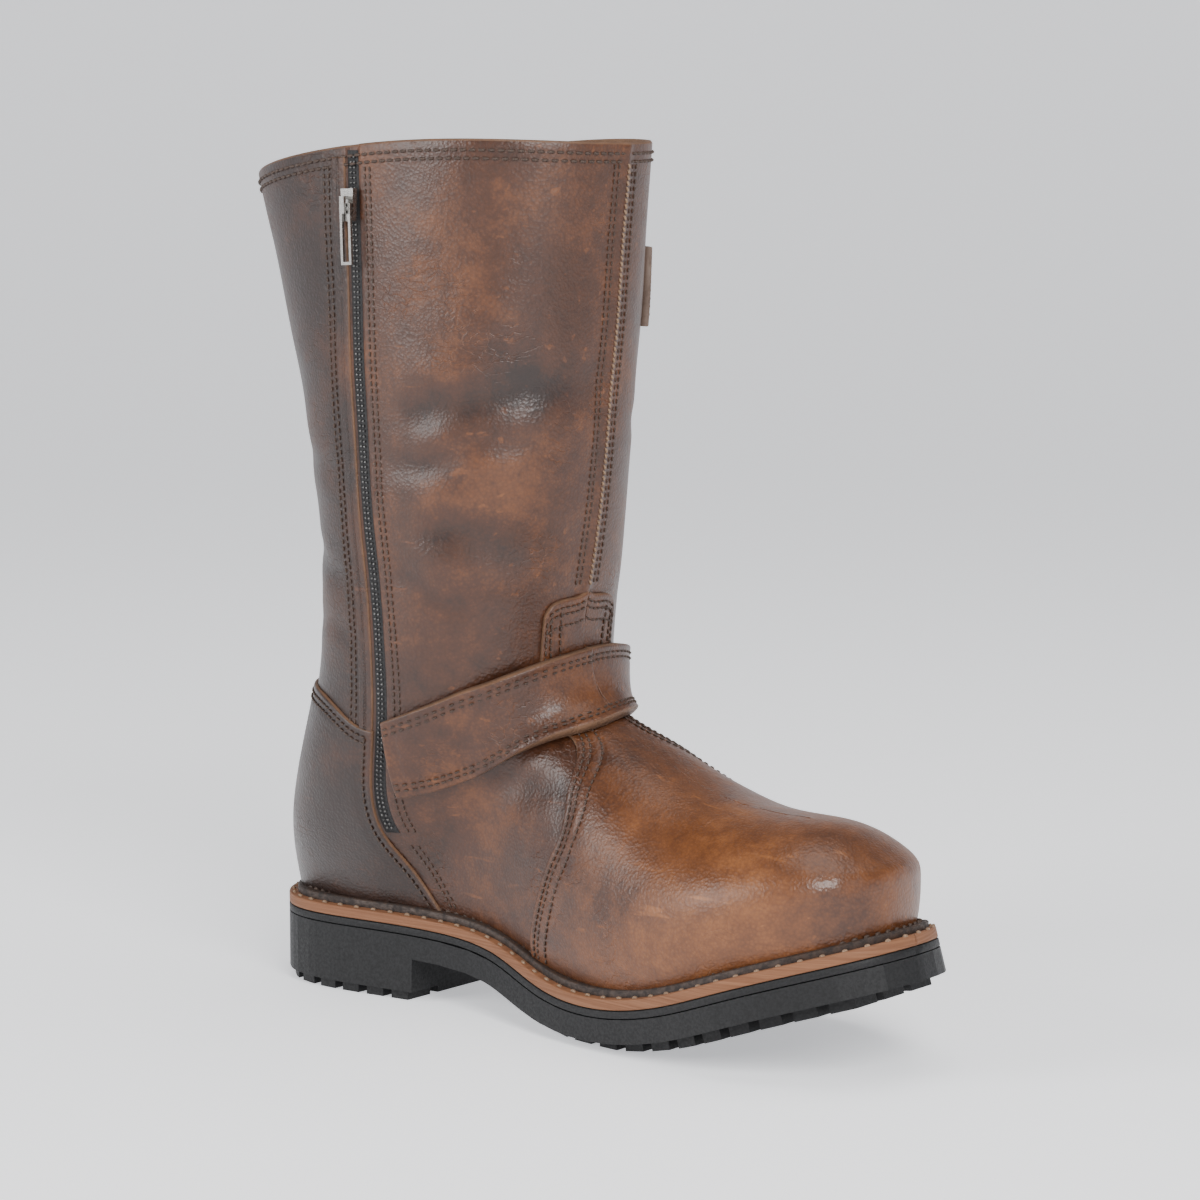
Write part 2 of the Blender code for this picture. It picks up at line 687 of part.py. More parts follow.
def make_outsole():
    """The moulded rubber: waist and forefoot, the heel block, and the lugs under both."""
    breast = HEEL_BREAST / SOLE_LENGTH
    bars = (lug_marks(0.010, HEEL_BREAST - 0.002, LUG_PITCH, LUG_RUN)
            + lug_marks(0.405 * SOLE_LENGTH, 0.950 * SOLE_LENGTH, LUG_PITCH, LUG_RUN))
    marks = sorted({x / SOLE_LENGTH for bar in bars for x in bar}
                   | {breast, breast + 0.002}
                   | set(sole_stations(count=30).tolist()))
    keep = [marks[0]]
    fixed = {x / SOLE_LENGTH for bar in bars for x in bar} | {breast, breast + 0.002}
    for share in marks[1:]:
        if share in fixed and keep[-1] not in fixed and share - keep[-1] < 0.008:
            keep[-1] = share
        elif share in fixed or share - keep[-1] > 0.008 or share > 0.985 or share < 0.02:
            keep.append(share)
    shares = np.array(keep)
    heel = shares <= breast + 1e-9
    top = -RUBBER_MIDSOLE - SEAT
    inset = np.where(heel, HEEL_LUG_INSET, LUG_INSET)
    lines = []
    for side in (-1, 1):
        edge = sole_edge(shares, side)
        lines.append(edge)
    medial, lateral = lines
    room = (lateral - medial) / 2
    middle = (lateral + medial) / 2
    inner_m = np.minimum(medial + inset, middle - 0.30 * room)
    inner_l = np.maximum(lateral - inset, middle + 0.30 * room)
    block = np.minimum(LUG_WIDTH, 0.30 * (inner_l - inner_m))
    groove = np.minimum(LUG_GAP, 0.14 * (inner_l - inner_m))
    across = np.stack([medial, inner_m, inner_m + block, inner_m + block + groove,
                       inner_l - block - groove, inner_l - block, inner_l, lateral], 1)
    count, wide = across.shape
    flat = over_sole(np.repeat(shares[:, None], wide, 1), across, top - OUTSOLE)
    flat[heel, :, 0] = (shares * SOLE_LENGTH)[heel, None]
    flat[heel, :, 2] = LUG
    drop = flat.copy()
    lowered = over_sole(np.repeat(shares[:, None], wide, 1), across, top - OUTSOLE - LUG)
    drop[~heel] = lowered[~heel]
    drop[..., 2] = np.maximum(drop[..., 2] - np.where(heel, LUG, 0)[:, None], 0)
    roof = over_sole(np.repeat(shares[:, None], wide, 1), across, top)
    raised = np.zeros((count - 1, wide - 1), bool)
    for low, high in bars:
        for i in range(count - 1):
            centre = (shares[i] + shares[i + 1]) / 2 * SOLE_LENGTH
            if low < centre < high:
                raised[i, [1, 3, 5]] = True
    size = count * wide
    points = np.concatenate([flat.reshape(-1, 3), drop.reshape(-1, 3), roof.reshape(-1, 3)])

    def at(layer, i, j):
        return layer * size + i * wide + j
    faces = []
    for i in range(count - 1):
        faces.append((at(2, i, 0), at(2, i, wide - 1), at(2, i + 1, wide - 1), at(2, i + 1, 0)))
        for j in range(wide - 1):
            layer = 1 if raised[i, j] else 0
            faces.append((at(layer, i, j), at(layer, i + 1, j), at(layer, i + 1, j + 1), at(layer, i, j + 1)))
        for j in (0, wide - 1):
            faces.append((at(0, i, j), at(0, i + 1, j), at(2, i + 1, j), at(2, i, j)))
    for i in range(count):
        for j in range(wide - 1):
            before = i > 0 and raised[i - 1, j]
            after = i < count - 1 and raised[i, j]
            if before != after:
                faces.append((at(0, i, j), at(0, i, j + 1), at(1, i, j + 1), at(1, i, j)))
    for i in range(count - 1):
        for j in range(1, wide - 1):
            if raised[i, j - 1] != raised[i, j]:
                faces.append((at(0, i, j), at(0, i + 1, j), at(1, i + 1, j), at(1, i, j)))
    for i in (0, count - 1):
        faces.append([at(0, i, j) for j in range(wide)] + [at(2, i, wide - 1), at(2, i, 0)])
    used = sorted({v for face in faces for v in face})
    order = {v: n for n, v in enumerate(used)}
    finish("outsole", points[used], [[order[v] for v in face] for face in faces],
           (0.010, 0.010, 0.011), 0.75)


def feather_loop(height, away, count):
    """Loop round the upper at a height over the midsole, a distance away from its surface."""
    x_low, x_high = BACK_LINE[0, 0], FRONT_LINE[0, 0]
    around = np.linspace(0, 2 * math.pi, 240, endpoint=False)
    middle = (x_low + x_high) / 2
    start = middle + ((x_high - x_low) / 2 - 0.030) * np.cos(around)
    points = cast((start, top_line(start)), (np.cos(around), np.sin(around)),
                  lambda x: sole_top(x) + height)
    normal = outward(points)
    normal[:, 2] = 0
    normal /= np.linalg.norm(normal, axis=1, keepdims=True)
    points = points + normal * away
    points[:, 2] = sole_top(points[:, 0]) + height
    front = points[:, 0].argmax()
    back = points[:, 0].argmin()
    looped = np.concatenate([points, points, points])
    n = len(points)
    outer = looped[front:back + 1] if back > front else looped[front:back + n + 1]
    front_after = front if front > back else front + n
    inner = looped[back:front_after + 1]
    half = count // 2
    return np.concatenate([along(outer, half + 1)[:-1], along(inner, half + 1)[:-1]])


def make_welt():
    """The dark welt: a band on the midsole round the foot of the upper."""
    count = 80
    shares = (1 - np.cos(np.linspace(math.pi, 0, 121))) / 2
    half = count // 2
    rows = []
    for height in (SEAT, WELT):
        sides = []
        for side in (1, -1):
            where, y = inset_edge(shares, side, WELT_SET)
            sides.append(np.stack([where * SOLE_LENGTH, y], 1))
        outer = along(sides[0], half + 1)[:-1]
        inner = along(sides[1][::-1], half + 1)[:-1]
        loop = np.concatenate([outer, inner])
        rows.append(np.column_stack([loop, sole_top(loop[:, 0]) + height]))
    near = [feather_loop(height, WELT_GAP, count) for height in (SEAT, WELT)]
    points, faces = ring_solid(np.array(rows), np.array(near))
    finish("welt", points, faces, (0.06, 0.032, 0.018), 0.7)


def make_insole():
    """The footbed inside the foot of the upper."""
    loop = feather_loop(SEAT, -WALL - INSOLE_GAP, 64)
    count = len(loop)
    low, high = loop.copy(), loop.copy()
    high[:, 2] += INSOLE - SEAT
    half = count // 2
    left = [0] + list(range(1, half)) + [half]
    right = [0] + list(range(count - 1, half, -1)) + [half]
    points = np.concatenate([low, high])
    faces = []
    for a, b, c, d in zip(left[:-1], left[1:], right[1:], right[:-1]):
        quad = list(dict.fromkeys((a, b, c, d)))
        faces.append(quad[::-1])
        faces.append([v + count for v in quad])
    for j in range(count):
        k = (j + 1) % count
        faces.append((j, k, k + count, j + count))
    finish("insole", points, faces, (0.42, 0.26, 0.13), 0.8)


def vamp_share(line, level, name):
    """Share of a half ring at the vamp's rear edge, or at the edge of its tab higher up."""
    edge = min(share_where(line, VAMP_EDGE, name), 0.45)
    join = ease(level, 0.36, 0.46)
    return edge * (1 - join) + TAB_HALF / length(line) * join


def upper_levels():
    """Levels of the rings, with a pair where the zip's slot ends."""
    levels = np.linspace(0, 1, RINGS + 1)**RING_CROWDING
    zip_z = []
    for level in levels:
        line = ring_halves(level, 120)[1]
        share = share_where(line, ZIP_LINE, "along")
        zip_z.append(along(line, np.array([share]))[0, 2])
    stop = float(np.interp(ZIP_BOTTOM, zip_z, levels))
    nearest = int(np.abs(levels - stop).argmin())
    levels[nearest] = stop
    return np.insert(levels, nearest + 1, stop + 0.002), nearest + 1


def upper_grid():
    """Rings of points on the upper, with columns along the vamp's edge, the zip and the counter."""
    levels, slot_row = upper_levels()
    rows = []
    for level in levels:
        outer, inner = ring_halves(level)
        at = share_where(inner, ZIP_LINE, "along")
        half = ZIP_SLOT / 2 / length(inner)
        lip = half + 0.0003 / length(inner)
        edge = vamp_share(inner, level, "medial")
        inner_shares = np.concatenate([
            np.linspace(0, edge, VAMP_COLUMNS + 1),
            np.linspace(edge, at - lip, QUARTER_COLUMNS + 1)[1:],
            [at - half, at + half],
            np.linspace(at + lip, 1, HEEL_COLUMNS + 1)[:-1]])
        edge = vamp_share(outer, level, "lateral")
        side = share_where(outer, ZIP_LINE, "along")
        outer_shares = np.concatenate([
            np.linspace(0, edge, VAMP_COLUMNS + 1)[1:],
            np.linspace(edge, side, QUARTER_COLUMNS + 1)[1:],
            np.linspace(side, 1, HEEL_COLUMNS + 1)[1:]])
        rows.append(np.concatenate([along(inner, inner_shares)[::-1], along(outer, outer_shares)]))
    return np.array(rows), slot_row


UPPER_GRID, SLOT_ROW = upper_grid()
FRONT_COLUMN = HEEL_COLUMNS + 2 + QUARTER_COLUMNS + VAMP_COLUMNS


def patch(columns, low_gap, high_gap, more):
    """Grid over some columns of the upper, between two lines where the gaps cross from below zero.

    Each gap is a function of a column's place in the list and of points; it grows upwards. The
    rows are the upper's own rings, then a few more up to the upper line.
    """
    lines, gones, ends = [], [], []
    for place, column_at in enumerate(columns):
        line = UPPER_GRID[:, column_at % UPPER_GRID.shape[1]]
        gone = np.concatenate([[0], np.cumsum(np.linalg.norm(np.diff(line, axis=0), axis=1))])
        pair = []
        for gap in (low_gap, high_gap):
            value = gap(place, line)
            i = int(np.argmax(value > 0))
            part = value[i] / (value[i] - value[i - 1])
            pair.append(gone[i] - part * (gone[i] - gone[i - 1]))
        lines.append(line)
        gones.append(gone)
        ends.append(pair)
    gones = np.array(gones)
    ends = np.array(ends)
    first = int(np.max(np.sum(gones < ends[:, :1] + 0.0015, axis=1)))
    last = int(np.min(np.sum(gones < ends[:, 1:], axis=1))) - 1
    grid = []
    for line, gone, (low, high) in zip(lines, gones, ends):
        at = np.concatenate([[low], gone[first:last + 1],
                             np.linspace(gone[last], high, more + 1)[1:]])
        grid.append(np.stack([np.interp(at, gone, line[:, i]) for i in range(3)], -1))
    return np.stack(grid, 1)


def above_welt(place, points):
    """How far points lie above the line just over the welt."""
    return points[:, 2] - sole_top(points[:, 0]) - WELT - LAYER_LIFT


def make_upper():
    """The hollow leather upper with the zip's slot as a step in its wall."""
    slot = np.zeros(UPPER_GRID.shape[:2], bool)
    slot[SLOT_ROW:, HEEL_COLUMNS:HEEL_COLUMNS + 2] = True
    normal = outward(UPPER_GRID)
    inner = UPPER_GRID - normal * WALL
    inner[0, :, 2] = sole_top(inner[0, :, 0]) + UPPER_SEAT
    outer = UPPER_GRID - normal * (ZIP_DEPTH * slot)[..., None]
    points, faces = ring_solid(outer[:, ::-1], inner[:, ::-1])
    finish("upper", points, faces, (0.15, 0.065, 0.028), 0.45)


def zip_point(z, aside=0.0):
    """Surface point on the zip's line at a height, moved along the surface towards the toe."""
    x = SOLE_LENGTH * smooth(z / SHAFT_HEIGHT, column(ZIP_LINE, "up"), column(ZIP_LINE, "along"))
    return side_point(x + aside, z, -1)


def make_zip():
    """The zip's tape with its row of teeth, lying in the slot."""
    z = np.linspace(ZIP_BOTTOM + 0.0025, RIM_FRONT - ZIP_DROP, 26)
    floor = -ZIP_DEPTH + SEAT
    half = ZIP_SLOT / 2 - SEAT - 0.0003
    ridge = 0.0016
    sections = []
    for aside, lift in ((-half, 0), (half, 0), (half, ZIP_TAPE), (ridge, ZIP_TAPE),
                        (ridge - 0.0003, ZIP_TAPE + 0.0009), (-ridge + 0.0003, ZIP_TAPE + 0.0009),
                        (-ridge, ZIP_TAPE), (-half, ZIP_TAPE)):
        base = zip_point(z, aside)
        sections.append(base + outward(base) * (floor + lift))
    stack = np.stack(sections, 1)
    count = len(z)
    faces = grid_faces(count, 8, closed=True)
    last = (count - 1) * 8
    faces += [tuple(range(7, -1, -1)), tuple(range(last, last + 8))]
    finish("zip_tape", stack.reshape(-1, 3), faces, (0.01, 0.01, 0.01), 0.6)


def make_vamp():
    """The vamp over the toe with its tab up the front of the shaft."""
    columns = range(FRONT_COLUMN - VAMP_COLUMNS, FRONT_COLUMN + VAMP_COLUMNS + 1)

    def below_top(place, points):
        share = abs(place - VAMP_COLUMNS) / VAMP_COLUMNS
        return points[:, 2] - TAB_TOP + TAB_DROP * share**3
    grid = patch(columns, above_welt, below_top, 3)
    finish("vamp", *sheet_solid(*lay_on(grid, LAY, LAY + VAMP)), (0.17, 0.075, 0.03), 0.42)


def make_counter():
    """The heel counter: a second layer round the back, from the zip to the outer side."""
    columns = range(-HEEL_COLUMNS - 1, HEEL_COLUMNS)

    def below_top(place, points):
        edge = smooth(points[:, 0] / SOLE_LENGTH, column(COUNTER_EDGE, "along"),
                      column(COUNTER_EDGE, "up"))
        return points[:, 2] - SHAFT_HEIGHT * edge
    grid = patch(columns, above_welt, below_top, 2)
    finish("heel_counter", *sheet_solid(*lay_on(grid, LAY, LAY + COUNTER)), (0.14, 0.06, 0.026), 0.45)


def strap_edges(angle):
    """Heights of the instep strap's lower and upper edge in a direction from the ankle."""
    angles = column(STRAP_BAND, "angle")
    return [SHAFT_HEIGHT * smooth(angle, angles, column(STRAP_BAND, name)) for name in ("lower", "upper")]


def band(start, end, stations, edges, centre, lift, thickness):
    """A strap lying round the boot between two angles, over a height range that may vary."""
    angle = np.linspace(start, end, stations)
    low, high = edges(angle)
    rows = [wrap(np.radians(angle), low + (high - low) * share, centre) for share in (0, 0.5, 1)]
    lift = lift(angle)
    return sheet_solid(*lay_on(np.stack(rows), lift, lift + thickness))


def make_instep_strap():
    """The strap over the instep, lifted over the vamp at the front, and its sewn end behind."""
    def lift(angle):
        over = 1 - ease(np.abs(angle + 2), 46, 62)
        return STRAP_LAY + over * (VAMP + LAY + STRAP_OVER)
    finish("instep_strap", *band(-99, STRAP_END, 27, strap_edges, ANKLE, lift, STRAP),
           (0.15, 0.065, 0.028), 0.42)
    finish("instep_strap_end",
           *band(CHAPE_START, CHAPE_END, 6, strap_edges, ANKLE,
                 lambda angle: STRAP_LAY + COUNTER + LAY + 0 * angle, STRAP + 0.0006),
           (0.14, 0.06, 0.026), 0.45)


def make_buckle(name, angle, z, centre, long, tall, lift, colour, roughness):
    """A rectangular wire frame with its prong, square to the surface at one spot."""
    base = wrap(math.radians(angle), z, centre)
    normal, up, level = frame_at(base, wrap(math.radians(angle), z + 0.004, centre))

    def place(a, b, h):
        return base + level * a + up * b + normal * (lift + h)
    a = long / 2
    b = tall / 2
    holes = ((1, 1), (1, 3))
    points, faces = block_cells(
        (-a, -a + BUCKLE_WIRE, a - BUCKLE_WIRE, a),
        (-b, -b + BUCKLE_WIRE, -PRONG / 2, PRONG / 2, b - BUCKLE_WIRE, b),
        (0, BUCKLE_WIRE), lambda i, j, k: (i, j) not in holes, place)
    finish(name, points, faces, colour, roughness, 1.0)


def make_buckles():
    """The bright frame on the instep strap and the dark one on the shaft strap."""
    low, high = strap_edges(BUCKLE_ANGLE)
    make_buckle("instep_buckle", BUCKLE_ANGLE, (low + high) / 2, ANKLE, BUCKLE_LENGTH,
                high - low + 2 * BUCKLE_MARGIN, STRAP_LAY + STRAP + BUCKLE_LAY, (0.62, 0.60, 0.57), 0.22)
    make_buckle("shaft_buckle", SHAFT_BUCKLE_ANGLE, SHAFT_STRAP_HEIGHT, SHAFT_CENTRE,
                SHAFT_BUCKLE_LENGTH, SHAFT_STRAP_WIDTH + 2 * BUCKLE_MARGIN,
                STRAP_LAY + SHAFT_STRAP + BUCKLE_LAY, (0.05, 0.048, 0.045), 0.4)


def make_shaft_strap():
    """The strap round the top of the shaft on the outer side, and the tab that holds its buckle."""
    def edges(angle):
        half = SHAFT_STRAP_WIDTH / 2
        return SHAFT_STRAP_HEIGHT - half + 0 * angle, SHAFT_STRAP_HEIGHT + half + 0 * angle

    def lift(angle):
        return STRAP_LAY + 0 * angle
    finish("shaft_strap_tab",
           *band(SHAFT_TAB_START, SHAFT_TAB_END, 7, edges, SHAFT_CENTRE, lift, SHAFT_STRAP),
           (0.20, 0.13, 0.095), 0.7)
    finish("shaft_strap",
           *band(SHAFT_STRAP_START, SHAFT_STRAP_END, 11, edges, SHAFT_CENTRE, lift, SHAFT_STRAP),
           (0.15, 0.065, 0.028), 0.42)


def slider_frame():
    """Place of the slider's lower end on the zip's line, with its three directions."""
    foot = RIM_FRONT - SLIDER_DROP
    base = zip_point(foot)
    return base, *frame_at(base, zip_point(foot + SLIDER_LENGTH))


def make_slider():
    """The zip's slider with its crown, and the wire pull that swings from it."""
    base, normal, up, level = slider_frame()
    middle = SLIDER_LENGTH / 2
    hole = CROWN_HOLE_LENGTH / 2
    body_top = SLIDER_LIFT + SLIDER_BODY

    def place(a, b, h):
        taper = 1 - 0.25 * (1 - a / SLIDER_LENGTH) if h <= body_top else 1
        return base + up * a + level * b * taper + normal * h

    def filled(i, j, k):
        if k == 0:
            return True
        return j == 1 and (i in (1, 3) if k == 1 else i in (1, 2, 3))
    points, faces = block_cells(
        (0, middle - hole - CROWN_WALL, middle - hole, middle + hole, middle + hole + CROWN_WALL,
         SLIDER_LENGTH),
        (-SLIDER_WIDTH / 2, -CROWN_WIDTH / 2, CROWN_WIDTH / 2, SLIDER_WIDTH / 2),
        (SLIDER_LIFT, body_top, body_top + CROWN_HOLE, body_top + CROWN_HOLE + CROWN_WALL),
        filled, place)
    finish("zip_slider", points, faces, (0.62, 0.60, 0.57), 0.25, 1.0)

    pivot = base + up * middle + normal * (body_top + CROWN_HOLE / 2)

    def place_pull(a, b, h):
        return pivot - up * a + level * b + normal * h
    wire = PULL_WIRE / 2
    points, faces = block_cells(
        (-wire, wire, PULL_LENGTH - 2 * wire, PULL_LENGTH),
        (-PULL_WIDTH / 2, -PULL_WIDTH / 2 + PULL_WIRE, PULL_WIDTH / 2 - PULL_WIRE, PULL_WIDTH / 2),
        (-wire, wire), lambda i, j, k: (i, j) != (1, 1), place_pull)
    finish("zip_pull", points, faces, (0.62, 0.60, 0.57), 0.25, 1.0, origin=tuple(pivot))


PARTS = (make_outsole, make_midsoles, make_welt, make_insole, make_upper, make_zip, make_vamp,
         make_counter, make_instep_strap, make_buckles, make_shaft_strap, make_slider)


def main():
    """Clears the scene and makes every piece."""
    for old in list(bpy.data.objects):
        bpy.data.objects.remove(old)
    for make in PARTS:
        make()


main()
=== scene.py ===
"""Looks of the left engineer boot: oiled brown leather, lugged rubber sole, side zip, two straps.

The leather forms are worked out from the same last as the solids: a foot dome of superellipse
sections melted into a shaft of superelliptic levels. Lengths are metres, x runs to the toe,
y to the outer side and z up. Inside the functions x is measured from the back of the sole.
"""
import math

import bmesh
import bpy
import numpy as np
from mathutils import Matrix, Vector


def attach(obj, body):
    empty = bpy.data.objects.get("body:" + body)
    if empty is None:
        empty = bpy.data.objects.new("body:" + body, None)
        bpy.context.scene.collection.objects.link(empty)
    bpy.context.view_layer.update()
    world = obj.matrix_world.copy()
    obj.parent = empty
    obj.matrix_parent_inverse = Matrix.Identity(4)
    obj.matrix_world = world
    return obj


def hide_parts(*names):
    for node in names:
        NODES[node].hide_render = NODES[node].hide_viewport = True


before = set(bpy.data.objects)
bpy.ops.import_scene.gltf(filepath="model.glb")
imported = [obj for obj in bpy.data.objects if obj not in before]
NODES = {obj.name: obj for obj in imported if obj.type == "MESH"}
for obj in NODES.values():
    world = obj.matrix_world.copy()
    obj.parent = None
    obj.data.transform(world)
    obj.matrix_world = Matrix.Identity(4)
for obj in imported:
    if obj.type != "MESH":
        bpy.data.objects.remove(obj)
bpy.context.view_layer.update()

SOLE_LENGTH = 0.2975
BALL_WIDTH = 0.105
HEEL_REST = 0.037          # from the back of the sole to the origin
LUG = 0.004
OUTSOLE = 0.009
RUBBER_MIDSOLE = 0.003
HEEL_LIFT = 0.0137         # how far the heel seat stands above the ball
TOE_SPRING = 0.0326        # how far the toe rises above the ball
LEATHER_MIDSOLE = 0.0042
WELT = 0.003
WELT_SET = 0.0035          # the welt's outer edge inside the midsole's edge
UPPER_SEAT = 0.0007        # clearance under the upper's curved lower edge

UPPER_HEEL_SET = 0.0066    # widest line of the upper inside the heel's edge
UPPER_TOE_SET = 0.0109     # and inside the toe's edge
BULGE_HEIGHT = 0.0226      # widest line above the midsole
UNDERCUT_DEPTH = 0.0366
CROWN = 0.072              # highest crown above the widest line
UNDER_POWER = 2.27
SHAFT_HEIGHT = 0.326
SHAFT_DEPTH = 0.172        # front to back at the rim
SHAFT_WIDTH = 0.106
SHAFT_POWER = 2.42
INSTEP_BLEND = 0.026
HEEL_BLEND = 0.008
RIM_FRONT = 0.3275
RIM_BACK = 0.3135
RIM_SADDLE = 0.0065
PIVOT = (0.105, 0.070)     # middle of the profile, seen from every point of its outline

ZIP_SLOT = 0.0065
ZIP_DEPTH = 0.0012
ZIP_BOTTOM = 0.066
ZIP_DROP = 0.0065          # from the rim's front down to the tape's upper end

STRAP = 0.0038
SHAFT_STRAP_WIDTH = 0.030
SHAFT_STRAP_HEIGHT = 0.2745
SHAFT_STRAP = 0.003
STRAP_END = 92             # angle at which the instep strap ends under its buckle
CHAPE_START = 102
CHAPE_END = 128
SHAFT_TAB_START = 30
SHAFT_TAB_END = 72
SHAFT_STRAP_START = 75
SHAFT_STRAP_END = 148

TAB_HALF = 0.0215          # half the width of the vamp's tab
TAB_TOP = 0.160
TAB_DROP = 0.007           # how far its corners are rounded down

# steps between the grid's columns: on the vamp, to the zip, over its slot, and to the back
VAMP_STEPS = 34
QUARTER_STEPS = 24
SLOT_STEPS = 8
HEEL_STEPS = 40
CAST_RINGS = 64            # rings met by rays
FINE_RINGS = 170           # rings of the grid
VAMP_REACH = 0.53          # largest share of a half ring that the vamp covers
TOE_TOP = 0.135            # below it the grid's front column is evened out
FIELD_STEP = 0.0002        # step over which the field's slope is measured
WAVE_HEIGHT = 0.0003       # of the leather's slight unevenness
SKIN = 0.0011              # thickness of the outer hide
RIDGE_HEIGHT = 0.0013      # of the front seam
RIM_ROLL = 0.0009          # how far the cut rim is rounded
LINING_DEPTH = 0.00165     # of the lining's face under the last's surface
LINING_THICK = 0.0010
LAYER = 0.0019             # how far the vamp stands over the last
COUNTER_LAYER = 0.0015     # and the heel counter
TUCK = 0.0003              # how far both reach into the hide
WELT_LAP = 0.0012          # how far they reach down behind the welt's top
GROOVE_DEPTH = 0.00032     # of the dip under a row of stitches
GROOVE_WIDTH = 0.0009
THREAD_SET = 0.0002        # how far threads sink into a layer
THREAD_LOW = 0.0001        # and into the hide
VAMP_ROWS = (0.0030, 0.0055, 0.0100)    # stitch rows from the edge
COUNTER_ROWS = (0.0030, 0.0055)
STRAP_ROWS = (0.0030, 0.0052)
STRAP_START = -99          # angle at which the instep strap starts beside the zip
STRAP_CLIMB = 0.0024       # how much higher it lies over the vamp
CHAPE_LIFT = 0.0016        # of the strap's loose end over the last
ZIP_TOP = RIM_FRONT - ZIP_DROP
TEETH_LIFT = 0.0007        # of the teeth over the tape's slot
TEETH_ASIDE = 0.00085      # of each row of teeth from the zip's middle
SEAM_LOW = 0.163           # lower end of the front seam's thread


# share of the length, then the medial and lateral half widths as shares of the ball width
SOLE_OUTLINE = (
    ("along", "medial", "lateral"),
    (0.000, 0.000, 0.000),
    (0.0205, 0.172, 0.175),
    (0.0615, 0.278, 0.267),
    (0.123, 0.318, 0.331),
    (0.205, 0.305, 0.357),
    (0.307, 0.278, 0.362),
    (0.410, 0.292, 0.378),
    (0.512, 0.378, 0.425),
    (0.615, 0.438, 0.485),
    (0.717, 0.468, 0.510),
    (0.800, 0.486, 0.478),
    (0.882, 0.424, 0.400),
    (0.935, 0.352, 0.300),
    (0.975, 0.262, 0.180),
    (1.000, 0.060, -0.060),
)
# share of the length, share of the heel lift, share of the toe spring
SOLE_RISE = (
    ("along", "heel", "toe"),
    (0.00, 1.00, 0.000),
    (0.154, 1.00, 0.000),
    (0.287, 0.965, 0.000),
    (0.410, 0.69, 0.000),
    (0.512, 0.15, 0.000),
    (0.615, 0.00, 0.000),
    (0.717, 0.00, 0.163),
    (0.820, 0.00, 0.483),
    (0.922, 0.00, 0.784),
    (1.00, 0.00, 1.000),
)
# share of the upper's length, half widths as shares of the ball width, crown as a share of CROWN,
# and the power of the crown's superellipse: above 2 its shoulders are fuller
FOOT = (
    ("along", "medial", "lateral", "crown", "power"),
    (0.000, 0.000, 0.000, 0.00, 2.6),
    (0.041, 0.112, 0.110, 0.28, 2.6),
    (0.122, 0.228, 0.284, 0.70, 2.6),
    (0.255, 0.230, 0.330, 0.94, 2.6),
    (0.407, 0.267, 0.360, 1.00, 2.6),
    (0.560, 0.372, 0.444, 0.895, 2.45),
    (0.713, 0.452, 0.524, 0.603, 2.15),
    (0.840, 0.451, 0.422, 0.398, 2.0),
    (0.920, 0.387, 0.312, 0.272, 2.0),
    (0.975, 0.275, 0.188, 0.100, 2.0),
    (1.000, 0.079, -0.079, 0.00, 2.0),
)
# share of the upper's length, sideways place of the top line as a share of the ball width
TOP_LINE = (
    ("along", "aside"),
    (0.00, 0.000),
    (0.31, 0.000),
    (0.51, 0.002),
    (0.71, -0.021),
    (0.87, -0.050),
    (1.00, -0.078),
)
# share of the shaft's height, middle as a share of the sole's length,
# half depth and half width as shares of the rim's, sideways place as a share of the rim's width
SHAFT = (
    ("up", "middle", "depth", "width", "aside"),
    (0.09, 0.1415, 0.427, 0.398, 0.000),
    (0.21, 0.1948, 0.527, 0.800, -0.004),
    (0.37, 0.2655, 0.590, 0.990, 0.010),
    (0.49, 0.2953, 0.631, 0.988, -0.017),
    (0.64, 0.3035, 0.701, 0.985, -0.042),
    (0.80, 0.2912, 0.810, 1.000, -0.039),
    (1.04, 0.2614, 1.006, 1.002, -0.032),
)
# height as a share of the shaft's height, distance from the back as a share of the sole's length
ZIP_LINE = (
    ("up", "along"),
    (0.00, 0.354),
    (0.10, 0.320),
    (0.16, 0.287),
    (0.21, 0.2686),
    (0.31, 0.2789),
    (0.62, 0.2789),
    (0.80, 0.2707),
    (1.10, 0.2584),
)
# the vamp's rear edge on the inner and the outer side, in the same shares
VAMP_EDGE = (
    ("up", "medial", "lateral"),
    (0.00, 0.451, 0.615),
    (0.09, 0.480, 0.627),
    (0.14, 0.498, 0.634),
    (0.19, 0.519, 0.638),
    (0.24, 0.539, 0.620),
    (0.29, 0.529, 0.574),
    (0.35, 0.482, 0.492),
)
# the heel counter's top edge on both sides, in the same shares
COUNTER_EDGE = (
    ("along", "up"),
    (0.00, 0.384),
    (0.123, 0.374),
    (0.205, 0.357),
    (0.246, 0.337),
    (0.267, 0.333),
    (0.410, 0.333),
)
# angle from the front about the ankle, then the strap's lower and upper edge, share of the shaft
STRAP_BAND = (
    ("angle", "lower", "upper"),
    (-104, 0.257, 0.341),
    (-76, 0.272, 0.372),
    (-48, 0.296, 0.403),
    (-24, 0.325, 0.422),
    (0, 0.341, 0.430),
    (26, 0.339, 0.428),
    (60, 0.318, 0.407),
    (98, 0.288, 0.376),
    (130, 0.268, 0.352),
)
ANKLE = (0.095, 0.000)
SHAFT_CENTRE = (0.085, -0.004)
# share of the front outline at a ring's front end, share of the back outline at its back end,
# and the power by which its sheet steepens
RING_LINE = (
    ("front", "back", "steep"),
    (0.00, 0.000, 1.0),
    (0.12, 0.035, 1.9),
    (0.25, 0.085, 2.8),
    (0.40, 0.150, 2.8),
    (0.50, 0.235, 2.2),
    (0.60, 0.370, 1.5),
    (0.75, 0.590, 1.0),
    (1.00, 1.000, 1.0),
)


def column(table, name):
    """One named column of a table."""
    place = table[0].index(name)
    return np.array([row[place] for row in table[1:]], float)


